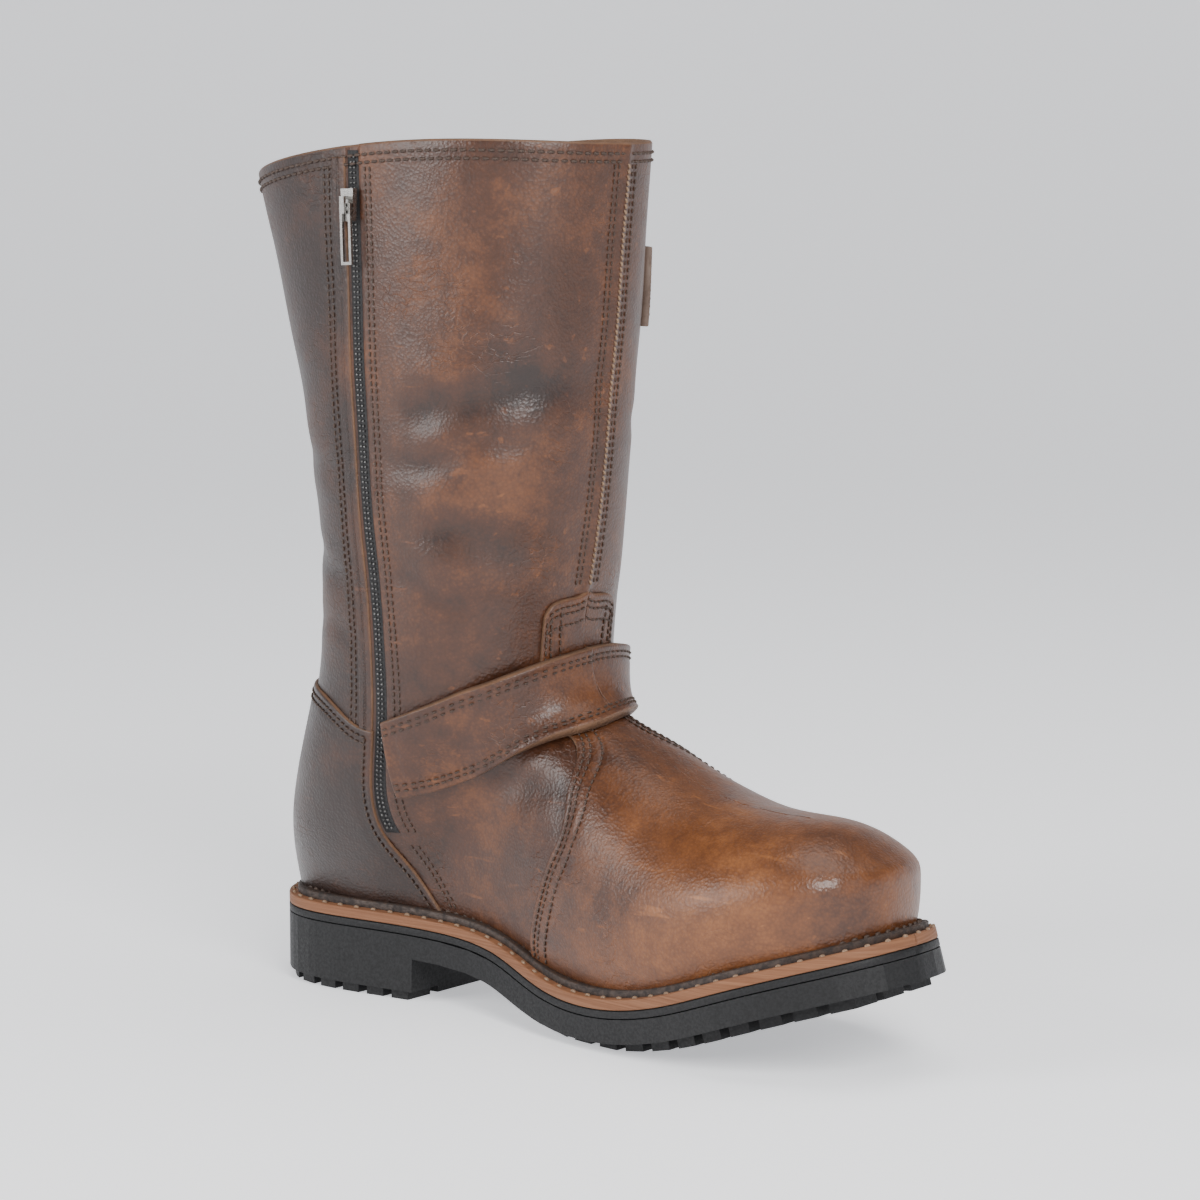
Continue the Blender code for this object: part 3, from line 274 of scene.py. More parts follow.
def spline_bend(at, values):
    """Second slopes of the natural cubic spline through values, or rows of values, at some places."""
    step = np.diff(at)
    slope = (np.diff(values, axis=0).T / step).T
    matrix = np.eye(len(at))
    right = np.zeros(np.shape(values))
    for i in range(1, len(at) - 1):
        matrix[i, i - 1:i + 2] = step[i - 1], 2 * (step[i - 1] + step[i]), step[i]
        right[i] = 6 * (slope[i] - slope[i - 1])
    return np.linalg.solve(matrix, right)


def smooth(x, xs, ys):
    """The natural cubic spline through the points (xs, ys), held flat beyond its ends."""
    bend = spline_bend(xs, ys)
    x = np.clip(x, xs[0], xs[-1])
    i = np.clip(np.searchsorted(xs, x) - 1, 0, len(xs) - 2)
    h = xs[i + 1] - xs[i]
    a = (xs[i + 1] - x) / h
    b = 1 - a
    cubic = ((a**3 - a) * bend[i] + (b**3 - b) * bend[i + 1]) * h * h / 6
    return a * ys[i] + b * ys[i + 1] + cubic


def turn(share):
    """Angle that runs evenly round a half ellipse while the share runs along its axis."""
    return np.arccos(1 - 2 * np.clip(share, 0, 1)) / math.pi


def ease(x, start, end):
    """Smooth step from 0 at start to 1 at end."""
    t = np.clip((x - start) / (end - start), 0, 1)
    return t * t * (3 - 2 * t)


SOLE_TURN = turn(column(SOLE_OUTLINE, "along"))
RISE_HEIGHT = (LUG + OUTSOLE + RUBBER_MIDSOLE + HEEL_LIFT * column(SOLE_RISE, "heel")
               + TOE_SPRING * column(SOLE_RISE, "toe"))


def sole_edge(share, side):
    """Sideways place of the sole's edge; side is 1 on the outer and -1 on the inner side."""
    name = "lateral" if side > 0 else "medial"
    return side * BALL_WIDTH * smooth(turn(share), SOLE_TURN, column(SOLE_OUTLINE, name))


def rise(share):
    """Height of the rubber's top above the floor."""
    return smooth(share, column(SOLE_RISE, "along"), RISE_HEIGHT)


def over_sole(share, y, height):
    """Points at a share of the length and a width, raised square to the sole's curve."""
    tiny = 1e-4
    slope = (rise(share + tiny) - rise(share - tiny)) / (2 * tiny * SOLE_LENGTH)
    long = np.sqrt(1 + slope**2)
    return np.stack([share * SOLE_LENGTH - slope / long * height,
                     y + 0 * share, rise(share) + height / long], -1)


def sole_top(x):
    """Height of the leather midsole's top at a distance from the back."""
    return rise(np.clip(x / SOLE_LENGTH, 0, 1)) + LEATHER_MIDSOLE


UPPER_START = UPPER_HEEL_SET
UPPER_END = SOLE_LENGTH - UPPER_TOE_SET
FOOT_TURN = turn(column(FOOT, "along"))


def top_line(x):
    """Sideways place of the upper's top line."""
    share = (x - UPPER_START) / (UPPER_END - UPPER_START)
    return BALL_WIDTH * smooth(share, column(TOP_LINE, "along"), column(TOP_LINE, "aside"))


def foot_field(x, y, z):
    """Distance-like value of the foot's dome, below zero inside: superellipse sections."""
    share = (x - UPPER_START) / (UPPER_END - UPPER_START)
    at = turn(share)
    medial = BALL_WIDTH * smooth(at, FOOT_TURN, column(FOOT, "medial"))
    lateral = BALL_WIDTH * smooth(at, FOOT_TURN, column(FOOT, "lateral"))
    crown = CROWN * smooth(at, FOOT_TURN, column(FOOT, "crown"))
    aside = top_line(x)
    half = np.maximum(np.where(y < aside, aside + medial, lateral - aside), 1e-4)
    above = z - sole_top(x) - BULGE_HEIGHT
    tall = np.where(above > 0, np.maximum(crown, 1e-4), UNDERCUT_DEPTH)
    crown_power = smooth(at, FOOT_TURN, column(FOOT, "power"))
    power = np.where(above > 0, crown_power, UNDER_POWER)
    reach = ((np.abs(y - aside) / half)**power + (np.abs(above) / tall)**power)**(1 / power)
    beyond = np.maximum(x - UPPER_END, 0) + np.maximum(UPPER_START - x, 0)
    return (reach - 1) * np.minimum(half, tall) + beyond


def shaft_field(x, y, z):
    """Distance-like value of the shaft's tube, below zero inside: superelliptic levels."""
    up = z / SHAFT_HEIGHT
    rows = column(SHAFT, "up")
    middle = SOLE_LENGTH * smooth(up, rows, column(SHAFT, "middle"))
    depth = SHAFT_DEPTH / 2 * smooth(up, rows, column(SHAFT, "depth"))
    width = SHAFT_WIDTH / 2 * smooth(up, rows, column(SHAFT, "width"))
    aside = SHAFT_WIDTH * smooth(up, rows, column(SHAFT, "aside"))
    reach = (np.abs((x - middle) / depth)**SHAFT_POWER
             + np.abs((y - aside) / width)**SHAFT_POWER)**(1 / SHAFT_POWER)
    return (reach - 1) * np.minimum(depth, width)


def boot_field(x, y, z):
    """The foot and the shaft melted together, with a wide fillet at the instep only."""
    foot = foot_field(x, y, z)
    shaft = shaft_field(x, y, z)
    instep = ease(x, 0.205 * SOLE_LENGTH, 0.41 * SOLE_LENGTH)
    blend = HEEL_BLEND + (INSTEP_BLEND - HEEL_BLEND) * instep
    near = np.maximum(blend - np.abs(foot - shaft), 0) / blend
    return np.minimum(foot, shaft) - near * near * blend / 4


def leave(point_at, reach, marches=24, halvings=20):
    """Distance along each ray at which it first leaves the boot; point_at gives x, y, z."""
    low = np.zeros_like(reach)
    high = reach.copy()
    found = np.zeros(reach.shape, bool)
    for i in range(1, marches + 1):
        far = reach * i / marches
        out = boot_field(*point_at(far)) > 0
        new = out & ~found
        high = np.where(new, far, high)
        low = np.where(new, far - reach / marches, low)
        found |= out
    for _ in range(halvings):
        middle = (low + high) / 2
        out = boot_field(*point_at(middle)) > 0
        high = np.where(out, middle, high)
        low = np.where(out, low, middle)
    return (low + high) / 2


def cast(start, toward, height_at):
    """Surface points met by level rays whose height follows a sheet over x."""
    def point_at(far):
        x = start[0] + toward[0] * far
        return x, start[1] + toward[1] * far, height_at(x)
    far = leave(point_at, np.full(np.shape(toward[0]), 0.22))
    return np.stack(point_at(far), -1)


def field_slope(points):
    """Slope of the boot's field at points, from differences over a tiny step each way."""
    x, y, z = points[..., 0], points[..., 1], points[..., 2]
    step = FIELD_STEP
    return np.stack([
        boot_field(x + step, y, z) - boot_field(x - step, y, z),
        boot_field(x, y + step, z) - boot_field(x, y - step, z),
        boot_field(x, y, z + step) - boot_field(x, y, z - step)], -1) / (2 * step)


def outward(points):
    """Unit normals of the boot's surface at points, from the field's slope."""
    slope = field_slope(points)
    return slope / np.linalg.norm(slope, axis=-1, keepdims=True)


def distances_along(line):
    """Distance of each point of a polyline from its start."""
    return np.concatenate([[0], np.cumsum(np.linalg.norm(np.diff(line, axis=0), axis=1))])


def along(line, count_or_shares):
    """Points at even or given shares of a polyline's length."""
    gone = distances_along(line)
    shares = count_or_shares
    if np.isscalar(shares):
        shares = np.linspace(0, 1, shares)
    at = shares * gone[-1]
    return np.stack([np.interp(at, gone, line[:, i]) for i in range(line.shape[1])], -1)


def profile_line(angles, rim):
    """The outline in the middle plane, from the sole's top to the rim, as x and z."""
    cosine, sine = np.cos(angles), np.sin(angles)

    def point_at(far):
        x = PIVOT[0] + cosine * far
        return x, top_line(x), PIVOT[1] + sine * far
    x, _, z = point_at(leave(point_at, np.full(angles.shape, 0.34), marches=60))
    line = np.stack([x, z], -1)
    over = z - sole_top(x) - UPPER_SEAT
    low = int(np.argmax(over > 0))
    high = int(np.argmax(z > rim))
    part = over[low] / (over[low] - over[low - 1])
    foot = line[low] + part * (line[low - 1] - line[low])
    part = (rim - z[high - 1]) / (z[high] - z[high - 1])
    top = line[high - 1] + part * (line[high] - line[high - 1])
    return np.concatenate([[foot], line[low:high], [top]])


FRONT_LINE = profile_line(np.radians(np.linspace(-14, 84, 300)), RIM_FRONT)
BACK_LINE = profile_line(np.radians(np.linspace(205, 108, 200)), RIM_BACK)


def ring_sheet(level):
    """Ends of a ring in the middle plane, and the height over x of the sheet that it lies in.

    While the front end climbs over the toe and the instep the back end rises slowly, and the
    sheet steepens towards the front, so that it crosses the instep's slope squarely.
    """
    steps = column(RING_LINE, "front")
    front = along(FRONT_LINE, np.array([level]))[0]
    back = along(BACK_LINE, np.array([smooth(level, steps, column(RING_LINE, "back"))]))[0]
    steep = smooth(level, steps, column(RING_LINE, "steep"))
    low_front = FRONT_LINE[0]
    low_back = BACK_LINE[0]
    follow = (1 - min(level / 0.6, 1))**1.5
    saddle = RIM_SADDLE * max(0, (level - 0.6) / 0.4)**2

    def height_at(x):
        t = np.clip((x - back[0]) / (front[0] - back[0]), 0, 1.2)
        plane = back[1] + (front[1] - back[1]) * t**steep
        bound = np.clip(x, low_back[0], low_front[0])
        chord = low_back[1] + (low_front[1] - low_back[1]) * (bound - low_back[0]) / (
            low_front[0] - low_back[0])
        middle = (front[0] + back[0]) / 2
        hump = 1 - ((x - middle) / (front[0] - middle))**2
        return plane + (sole_top(bound) + UPPER_SEAT - chord) * follow + saddle * hump
    return front, back, height_at


def ring_halves(level, rays=320):
    """Dense lines from the front to the back of a ring: the outer half and the inner half."""
    front, back, height_at = ring_sheet(level)
    around = np.linspace(0, 2 * math.pi, rays, endpoint=False)
    around = around - 0.6 * np.sin(around)
    half = (front[0] - back[0]) / 2
    middle = (front[0] + back[0]) / 2
    start = middle + max(half - 0.030, 0.004) * np.cos(around)
    ring = cast((start, top_line(start)), (np.cos(around), np.sin(around)), height_at)
    ring[0] = front[0], top_line(front[0]), front[1]
    ring[rays // 2] = back[0], top_line(back[0]), back[1]
    return ring[:rays // 2 + 1], np.concatenate([ring[rays // 2:], ring[:1]])[::-1]


def share_where(line, side_line, name):
    """Share of a half ring at which it first crosses a line of the side view, from the front."""
    x_line = SOLE_LENGTH * smooth(line[:, 2] / SHAFT_HEIGHT, column(side_line, "up"),
                                  column(side_line, name))
    behind = line[:, 0] < x_line
    i = int(np.argmax(behind))
    if i == 0:
        return 0.0 if behind[0] else 1.0
    gap = line[:, 0] - x_line
    part = gap[i - 1] / (gap[i - 1] - gap[i])
    gone = distances_along(line)
    return float((gone[i - 1] + part * (gone[i] - gone[i - 1])) / gone[-1])


def length(line):
    """Length of a polyline."""
    return float(np.sum(np.linalg.norm(np.diff(line, axis=0), axis=1)))


def side_point(x, z, side):
    """Surface point seen square from the side at a distance from the back and a height."""
    x = np.asarray(x, float)
    z = np.asarray(z, float)

    def point_at(far):
        return x, top_line(x) + side * far, z
    return np.stack(point_at(leave(point_at, np.full(x.shape, 0.09))), -1)


def wrap(angle, z, centre=ANKLE):
    """Surface point in a direction from an upright axis; the angle runs from the toe outward."""
    angle = np.asarray(angle, float)
    z = np.asarray(z, float)

    def point_at(far):
        return centre[0] + np.cos(angle) * far, centre[1] + np.sin(angle) * far, z
    return np.stack(point_at(leave(point_at, np.full(angle.shape, 0.22), marches=40)), -1)


def spline_rows(rows, at, fine):
    """Rows of points known at some levels, carried on natural cubic splines to finer levels."""
    rows = np.asarray(rows)
    flat = rows.reshape(len(at), -1)
    bend = spline_bend(at, flat)
    i = np.clip(np.searchsorted(at, fine) - 1, 0, len(at) - 2)
    h = (at[i + 1] - at[i])[:, None]
    a = (at[i + 1] - fine)[:, None] / h
    b = 1 - a
    cubic = ((a**3 - a) * bend[i] + (b**3 - b) * bend[i + 1]) * h * h / 6
    return (a * flat[i] + b * flat[i + 1] + cubic).reshape(len(fine), *rows.shape[1:])


def graded(count, start, end):
    """Shares between two ends, closer together at both."""
    t = np.linspace(0, 1, count + 1)
    return start + (end - start) * (t - 0.11 * np.sin(2 * math.pi * t))


def gathered(count, start, end):
    """Shares between two ends, closer together at the second."""
    t = np.linspace(0, 1, count + 1)
    return start + (end - start) * (t + 0.22 * np.sin(math.pi * t))


def fine_grid():
    """The upper's surface as rings of points, with columns along the vamp's edge and the zip.

    Rings are cast at coarse levels, carried to fine ones on splines, evened out along the toe's
    middle and moved onto the surface.
    """
    coarse = np.linspace(0, 1, CAST_RINGS)**1.25
    rows = []
    for level in coarse:
        outer, inner = ring_halves(level, 240)
        at = share_where(inner, ZIP_LINE, "along")
        half = ZIP_SLOT / 2 / length(inner)
        edge = vamp_share(inner, level, "medial")
        inner_shares = np.concatenate([
            gathered(VAMP_STEPS, 0, edge), graded(QUARTER_STEPS, edge, at - half)[1:],
            np.linspace(at - half, at + half, SLOT_STEPS + 1)[1:],
            graded(HEEL_STEPS, at + half, 1)[1:-1]])
        edge = vamp_share(outer, level, "lateral")
        side = share_where(outer, ZIP_LINE, "along")
        outer_shares = np.concatenate([
            gathered(VAMP_STEPS, 0, edge)[1:], graded(QUARTER_STEPS, edge, side)[1:],
            graded(HEEL_STEPS, side, 1)[1:]])
        rows.append(np.concatenate([along(inner, inner_shares)[::-1], along(outer, outer_shares)]))
    grid = spline_rows(rows, coarse, np.linspace(0, 1, FINE_RINGS)**1.2)
    toe = grid[:, FRONT, 2] < TOE_TOP
    grid[toe, FRONT] = (grid[toe, FRONT - 1] + grid[toe, FRONT + 1]) / 2
    return settle(grid)


def settle(points):
    """Points moved onto the boot's surface: three Newton steps down the field's slope."""
    for _ in range(3):
        slope = field_slope(points)
        value = boot_field(points[..., 0], points[..., 1], points[..., 2])
        step = np.clip(value / np.sum(slope**2, -1), -0.001, 0.001)
        points = points - slope * step[..., None]
    return points


def vamp_share(line, level, name):
    """Share of a half ring at the vamp's rear edge, or at the edge of its tab higher up."""
    edge = min(share_where(line, VAMP_EDGE, name), VAMP_REACH)
    join = ease(level, 0.36, 0.46)
    return edge * (1 - join) + TAB_HALF / length(line) * join


FRONT = VAMP_STEPS + QUARTER_STEPS + SLOT_STEPS + HEEL_STEPS - 1
GRID = fine_grid()
WIDE = GRID.shape[1]


def ring_columns(first, last):
    """Columns of the grid from one number to another, both counted from the front seam."""
    return GRID[:, np.arange(FRONT + first, FRONT + last + 1) % WIDE]


# soft folds: ends as distance from the back and height, then depth, half width and side
FOLDS = (
    ("x1", "z1", "x2", "z2", "deep", "wide", "side"),
    (0.100, 0.224, 0.154, 0.243, 0.0040, 0.0110, -1),
    (0.106, 0.210, 0.146, 0.222, 0.0020, 0.0060, -1),
    (0.092, 0.214, 0.134, 0.204, 0.0018, 0.0070, -1),
    (0.110, 0.252, 0.150, 0.256, 0.0012, 0.0080, -1),
    (0.114, 0.192, 0.142, 0.176, 0.0030, 0.0090, -1),
    (0.096, 0.170, 0.132, 0.156, 0.0018, 0.0060, -1),
    (0.034, 0.215, 0.066, 0.205, 0.0010, 0.0055, -1),
    (0.040, 0.176, 0.070, 0.166, 0.0012, 0.0050, -1),
    (0.044, 0.150, 0.074, 0.143, 0.0009, 0.0042, -1),
    (0.118, 0.098, 0.150, 0.086, 0.0016, 0.0070, -1),
    (0.150, 0.094, 0.170, 0.062, 0.0010, 0.0060, -1),
    (0.094, 0.236, 0.146, 0.222, 0.0014, 0.0050, 1),
    (0.050, 0.200, 0.110, 0.186, 0.0012, 0.0055, 1),
    (0.060, 0.168, 0.128, 0.160, 0.0012, 0.0050, 1),
    (0.150, 0.096, 0.176, 0.066, 0.0009, 0.0050, 1),
)


def relief(points):
    """Height of the leather's folds and waves over the last.

    Each fold is a bell-shaped trough with raised sides along a wavy line between two ends, seen
    from the side, and fades beyond them and past the top line.
    """
    x, y, z = points[..., 0], points[..., 1], points[..., 2]
    lift = np.zeros(x.shape)
    for x1, z1, x2, z2, deep, wide, side in FOLDS[1:]:
        long = math.hypot(x2 - x1, z2 - z1)
        run = ((x - x1) * (x2 - x1) + (z - z1) * (z2 - z1)) / long
        away = ((z - z1) * (x2 - x1) - (x - x1) * (z2 - z1)) / long
        away = away + 0.0016 * np.sin(run * 160 + x1 * 900)
        past = np.maximum(np.abs(run - long / 2) - long * 0.32, 0)
        fade = np.exp(-(past / (long * 0.16))**2) * ease(side * (y - top_line(x)), -0.004, 0.012)
        t = (away / wide)**2
        lift += deep * fade * (0.42 * np.exp(-t / 5) - np.exp(-t))
    wide_wave = np.sin(x * 71 + z * 33 + 1.3) * np.sin(z * 88 - x * 21)
    slant_wave = np.sin(x * 133 - z * 97 + y * 60)
    return lift + WAVE_HEIGHT * (wide_wave + slant_wave) / 2


def zip_distance(z):
    """Distance of the zip's line from the back of the sole at a height."""
    return SOLE_LENGTH * smooth(z / SHAFT_HEIGHT, column(ZIP_LINE, "up"), column(ZIP_LINE, "along"))


def tone(points):
    """How light the hide is: dark behind the zip, warm over the toe, with painted shade in the folds'
    troughs and painted highlight on their crests.
    """
    x, z = points[..., 0], points[..., 2]
    behind = ease(zip_distance(z) - x, -0.002, 0.010)
    toe = ease(x, 0.150, 0.225) * ease(0.14 - z, 0, 0.03)
    # 70 * relief is painted light over the hide's own tone: painted shade in fold troughs, painted
    # highlight on fold crests
    return 0.46 - 0.17 * behind + 0.12 * toe + 70 * relief(points)


def quads(rows, columns, closed=False, start=0, flip=False):
    """Quads of a grid of points stored row by row, as an array."""
    index = start + np.arange(rows * columns).reshape(rows, columns)
    if closed:
        index = np.concatenate([index, index[:, :1]], 1)
    corners = [index[:-1, :-1], index[:-1, 1:], index[1:, 1:], index[1:, :-1]]
    faces = np.stack(corners, -1).reshape(-1, 4)
    return faces[:, ::-1] if flip else faces


def sheet_faces(rows, columns):
    """Faces of two open grids stored one after the other, closed round their border."""
    count = rows * columns
    index = np.arange(count).reshape(rows, columns)
    border = np.concatenate([index[0, :-1], index[:-1, -1], index[-1, :0:-1], index[:0:-1, 0]])
    there = np.roll(border, -1)
    side = np.stack([there, border, border + count, there + count], 1)
    return np.concatenate([quads(rows, columns), quads(rows, columns, start=count, flip=True), side])


def tube_faces(rows, columns):
    """Faces of two grids that run round the boot, joined along their first and last rows."""
    count = rows * columns
    here = np.arange(columns)
    there = np.roll(here, -1)
    faces = [quads(rows, columns, closed=True),
             quads(rows, columns, closed=True, start=count, flip=True)]
    for base in (0, count - columns):
        faces.append(base + np.stack([here, there, there + count, here + count], 1))
    return np.concatenate(faces)


def piece(name, points, faces, material, slot, stands_for=(), sharp=None, **fields):
    """One object from points and faces, riding on the boot, with named values at its points."""
    mesh = bpy.data.meshes.new(name)
    moved = np.reshape(points, (-1, 3)) - (HEEL_REST, 0, 0)
    mesh.from_pydata(moved.tolist(), [], faces if isinstance(faces, list) else faces.tolist())
    for label, values in fields.items():
        field = mesh.attributes.new(label, "FLOAT", "POINT")
        field.data.foreach_set("value", np.asarray(values, np.float32).ravel())
    work = bmesh.new()
    work.from_mesh(mesh)
    bmesh.ops.recalc_face_normals(work, faces=work.faces)
    work.to_mesh(mesh)
    work.free()
    mesh.shade_smooth()
    if sharp:
        mesh.set_sharp_from_angle(angle=math.radians(sharp))
    mesh.materials.append(material)
    made = bpy.data.objects.new(name, mesh)
    bpy.context.scene.collection.objects.link(made)
    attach(made, "boot")
    if stands_for:
        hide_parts(*stands_for)


def stacked(*grids):
    """Grids of points as one list of points."""
    return np.concatenate([grid.reshape(-1, 3) for grid in grids])


# distances of the extra points that round a free edge
EDGE = np.array([0, 0.0002, 0.0005, 0.0010, 0.0018, 0.0028, 0.0040])


def edged(line, count, start, end):
    """Points along a line, with extra ones close to its free ends."""
    total = length(line)
    first = EDGE[-1] if start else 0
    last = total - (EDGE[-1] if end else 0)
    gone = np.linspace(first, last, count)
    if start:
        gone = np.concatenate([EDGE[:-1], gone])
    if end:
        gone = np.concatenate([gone, total - EDGE[:-1][::-1]])
    return along(line, gone / total)


def from_edges(grid, ends):
    """Distance of each point of a grid from its free edges; ends are low, high, left and right."""
    down = np.linalg.norm(np.diff(grid, axis=0), axis=2)
    down = np.concatenate([np.zeros((1, grid.shape[1])), np.cumsum(down, axis=0)])
    over = np.linalg.norm(np.diff(grid, axis=1), axis=2)
    over = np.concatenate([np.zeros((grid.shape[0], 1)), np.cumsum(over, axis=1)], 1)
    away = np.full(grid.shape[:2], 1.0)
    for wanted, value in zip(ends, (down, down[-1:] - down, over, over[:, -1:] - over)):
        if wanted:
            away = np.minimum(away, value)
    return away


def make_layer(name, grid, low, thick, material, slot, stands_for, ends=(1, 1, 1, 1), rows=60,
               columns=60, rounding=0.0009, grooves=(), shade=0.0):
    """A sheet of leather on the boot.

    Its top is the thickness, less a quarter circle near each free edge and less a bell-shaped
    groove under each row of stitches, given by its distance from the edge.
    """
    wide = np.stack([edged(row, columns, ends[2], ends[3]) for row in grid])
    full = np.stack([edged(wide[:, j], rows, ends[0], ends[1]) for j in range(wide.shape[1])], 1)
    away = from_edges(full, ends)
    near = np.clip(away / rounding, 0, 1)
    height = thick - rounding * (1 - np.sqrt(1 - (1 - near)**2))
    for groove in grooves:
        height = height - GROOVE_DEPTH * np.exp(-((away - groove) / GROOVE_WIDTH)**2)
    low = low(full) if callable(low) else low
    base = relief(full)
    normal = outward(full)
    top = full + normal * (base + low + height)[..., None]
    bottom = full + normal * (base + low)[..., None]
    # lightness at each point, including painted shade in fold troughs and painted highlight on fold
    # crests
    light = (tone(full) + shade).ravel()
    raw = np.clip(1 - away / (rounding * 0.55), 0, 1).ravel()
    piece(name, stacked(top, bottom), sheet_faces(*full.shape[:2]), material, slot, stands_for,
          tone=np.concatenate([light, light]), raw=np.concatenate([raw, np.ones(len(raw))]))


def seam_rows(grid, lift, side, distances, short=(0, 0)):
    """Lines for stitches beside one edge of a surface grid, cut short by a length at both ends.

    Each line is points on the last and one height over them.
    """
    lines = {"low": grid.swapaxes(0, 1), "high": grid[::-1].swapaxes(0, 1),
             "left": grid, "right": grid[:, ::-1]}[side]
    made = []
    for distance in distances:
        points = np.stack([along(line, np.array([distance / length(line)]))[0] for line in lines])
        if any(short):
            total = length(points)
            points = along(points, np.linspace(short[0] / total, 1 - short[1] / total, len(points)))
        made.append((points, lift))
    return made


# the rings of a thread: their place along it, their width and how far they dive
THREAD_STEPS = np.array([-0.5, -0.36, 0.0, 0.36, 0.5])
THREAD_WIDTH = np.array([0.30, 0.85, 1.0, 0.85, 0.30])
THREAD_DIVE = np.array([-0.9, -0.2, 0.0, -0.2, -0.9])
THREAD_SIDES = 6


def make_threads(name, centre, tangent, normal, run, radius, material, slot, lean=0.0, raised=0.0):
    """One rounded thread at each centre: rings of points that thin out and dive at both ends."""
    side = np.cross(normal, tangent)
    tangent, side = (tangent * math.cos(lean) + side * math.sin(lean),
                     side * math.cos(lean) - tangent * math.sin(lean))
    around = np.linspace(0, 2 * math.pi, THREAD_SIDES, endpoint=False)
    wide = THREAD_WIDTH[:, None] * np.cos(around) * radius
    high = (THREAD_WIDTH[:, None] * np.sin(around) + THREAD_DIVE[:, None] + raised) * radius
    points = (centre[:, None, None]
              + (THREAD_STEPS * run)[None, :, None, None] * tangent[:, None, None]
              + wide[None, ..., None] * side[:, None, None]
              + high[None, ..., None] * normal[:, None, None])
    rings = len(THREAD_STEPS)
    cap = np.array([[0, 1, 2, 3], [0, 3, 4, 5]])
    last = (rings - 1) * THREAD_SIDES
    one = np.concatenate([quads(rings, THREAD_SIDES, closed=True), cap, cap + last])
    start = rings * THREAD_SIDES * np.arange(len(points))
    piece(name, points, (one[None] + start[:, None, None]).reshape(-1, 4), material, slot)


def make_stitches(name, lines, material, slot, pitch=0.0027, share=0.74, radius=0.00042, lean=0.0,
                  sink=0.25):
    """Rows of single stitches along lines on the leather; share is thread length over pitch."""
    places, tangents, normals = [], [], []
    for points, lift in lines:
        count = max(int(length(points) / pitch), 1)
        shares = (np.arange(count) + 0.5) / count
        centre = along(points, shares)
        after = along(points, np.clip(shares + 0.2 / count, 0, 1))
        ahead = after - along(points, shares - 0.2 / count)
        normal = outward(centre)
        places.append(centre + normal * (relief(centre) + lift + radius * (1 - sink))[:, None])
        tangents.append(ahead - normal * np.sum(ahead * normal, 1, keepdims=True))
        normals.append(normal)
    tangent = np.concatenate(tangents)
    tangent /= np.linalg.norm(tangent, axis=1, keepdims=True)
    make_threads(name, np.concatenate(places), tangent, np.concatenate(normals), pitch * share,
                 radius, material, slot, lean)


def make_loop_stitches(name, loop, pitch, share, radius, material, lean=0.0):
    """Stitches lying flat on the welt or the midsole along a loop."""
    line = np.concatenate([loop, loop[:1]])
    count = int(length(line) / pitch)
    shares = (np.arange(count) + 0.5) / count
    tangent = along(line, np.clip(shares + 0.002, 0, 1)) - along(line, shares - 0.002)
    tangent /= np.linalg.norm(tangent, axis=1, keepdims=True)
    side = np.cross((0, 0, 1.0), tangent)
    side /= np.linalg.norm(side, axis=1, keepdims=True)
    make_threads(name, along(line, shares), tangent, np.cross(tangent, side), pitch * share, radius,
                 material, "dark_leather", lean, raised=0.5)


def put(tree, kind, inputs=None, **settings):
    """A node with its settings; an input is a constant or another node's output."""
    made = tree.nodes.new(kind)
    for name, value in settings.items():
        setattr(made, name, value)
    for name, value in (inputs or {}).items():
        if isinstance(value, bpy.types.NodeSocket):
            tree.links.new(value, made.inputs[name])
        else:
            made.inputs[name].default_value = value
    return made


def between(tree, value, low, high, to_low=0.0, to_high=1.0):
    """A value carried smoothly from one range to another."""
    made = put(tree, "ShaderNodeMapRange", {"Value": value, "From Min": low, "From Max": high,
                                            "To Min": to_low, "To Max": to_high},
               interpolation_type="SMOOTHSTEP")
    return made.outputs["Result"]


def maths(tree, operation, a, b=None, c=None):
    """One sum of up to three values."""
    inputs = {i: v for i, v in enumerate((a, b, c)) if v is not None}
    return put(tree, "ShaderNodeMath", inputs, operation=operation).outputs[0]


def blend_colour(tree, share, a, b):
    """Two colours mixed by a share."""
    made = put(tree, "ShaderNodeMix", {0: share}, data_type="RGBA")
    for index, value in ((6, a), (7, b)):
        if isinstance(value, bpy.types.NodeSocket):
            tree.links.new(value, made.inputs[index])
        else:
            made.inputs[index].default_value = (*value, 1)
    return made.outputs[2]


def new_group(name, inputs, outputs):
    """An empty shader group with its sockets."""
    tree = bpy.data.node_groups.new(name, "ShaderNodeTree")
    for label, kind in inputs:
        tree.interface.new_socket(name=label, socket_type=kind, in_out="INPUT")
    for label, kind in outputs:
        tree.interface.new_socket(name=label, socket_type=kind, in_out="OUTPUT")
    return tree, tree.nodes.new("NodeGroupInput").outputs, tree.nodes.new("NodeGroupOutput").inputs


FLOAT, COLOUR, VECTOR = "NodeSocketFloat", "NodeSocketColor", "NodeSocketVector"
# the oiled hide from dark to light: with the mottling, the dark end takes painted shade in fold
# troughs and the light end painted highlight on fold crests
HIDE_COLOURS = (
    (0.00, (0.0055, 0.0028, 0.0022)),
    (0.25, (0.017, 0.0070, 0.0042)),
    (0.45, (0.052, 0.0175, 0.0070)),
    (0.62, (0.125, 0.042, 0.0125)),
    (0.80, (0.240, 0.088, 0.026)),
    (1.00, (0.400, 0.175, 0.065)),
)
RAW_COLOURS = ((0.075, 0.036, 0.018), (0.20, 0.105, 0.055))


def noise(tree, place, scale, detail=2.0, roughness=0.5):
    """Outputs of a cloudy pattern."""
    return put(tree, "ShaderNodeTexNoise", {"Vector": place, "Scale": scale, "Detail": detail,
                                            "Roughness": roughness}).outputs


def summed(tree, start, *parts):
    """A value with further values added, each times a factor."""
    for value, factor in parts:
        start = maths(tree, "MULTIPLY_ADD", value, factor, start)
    return start


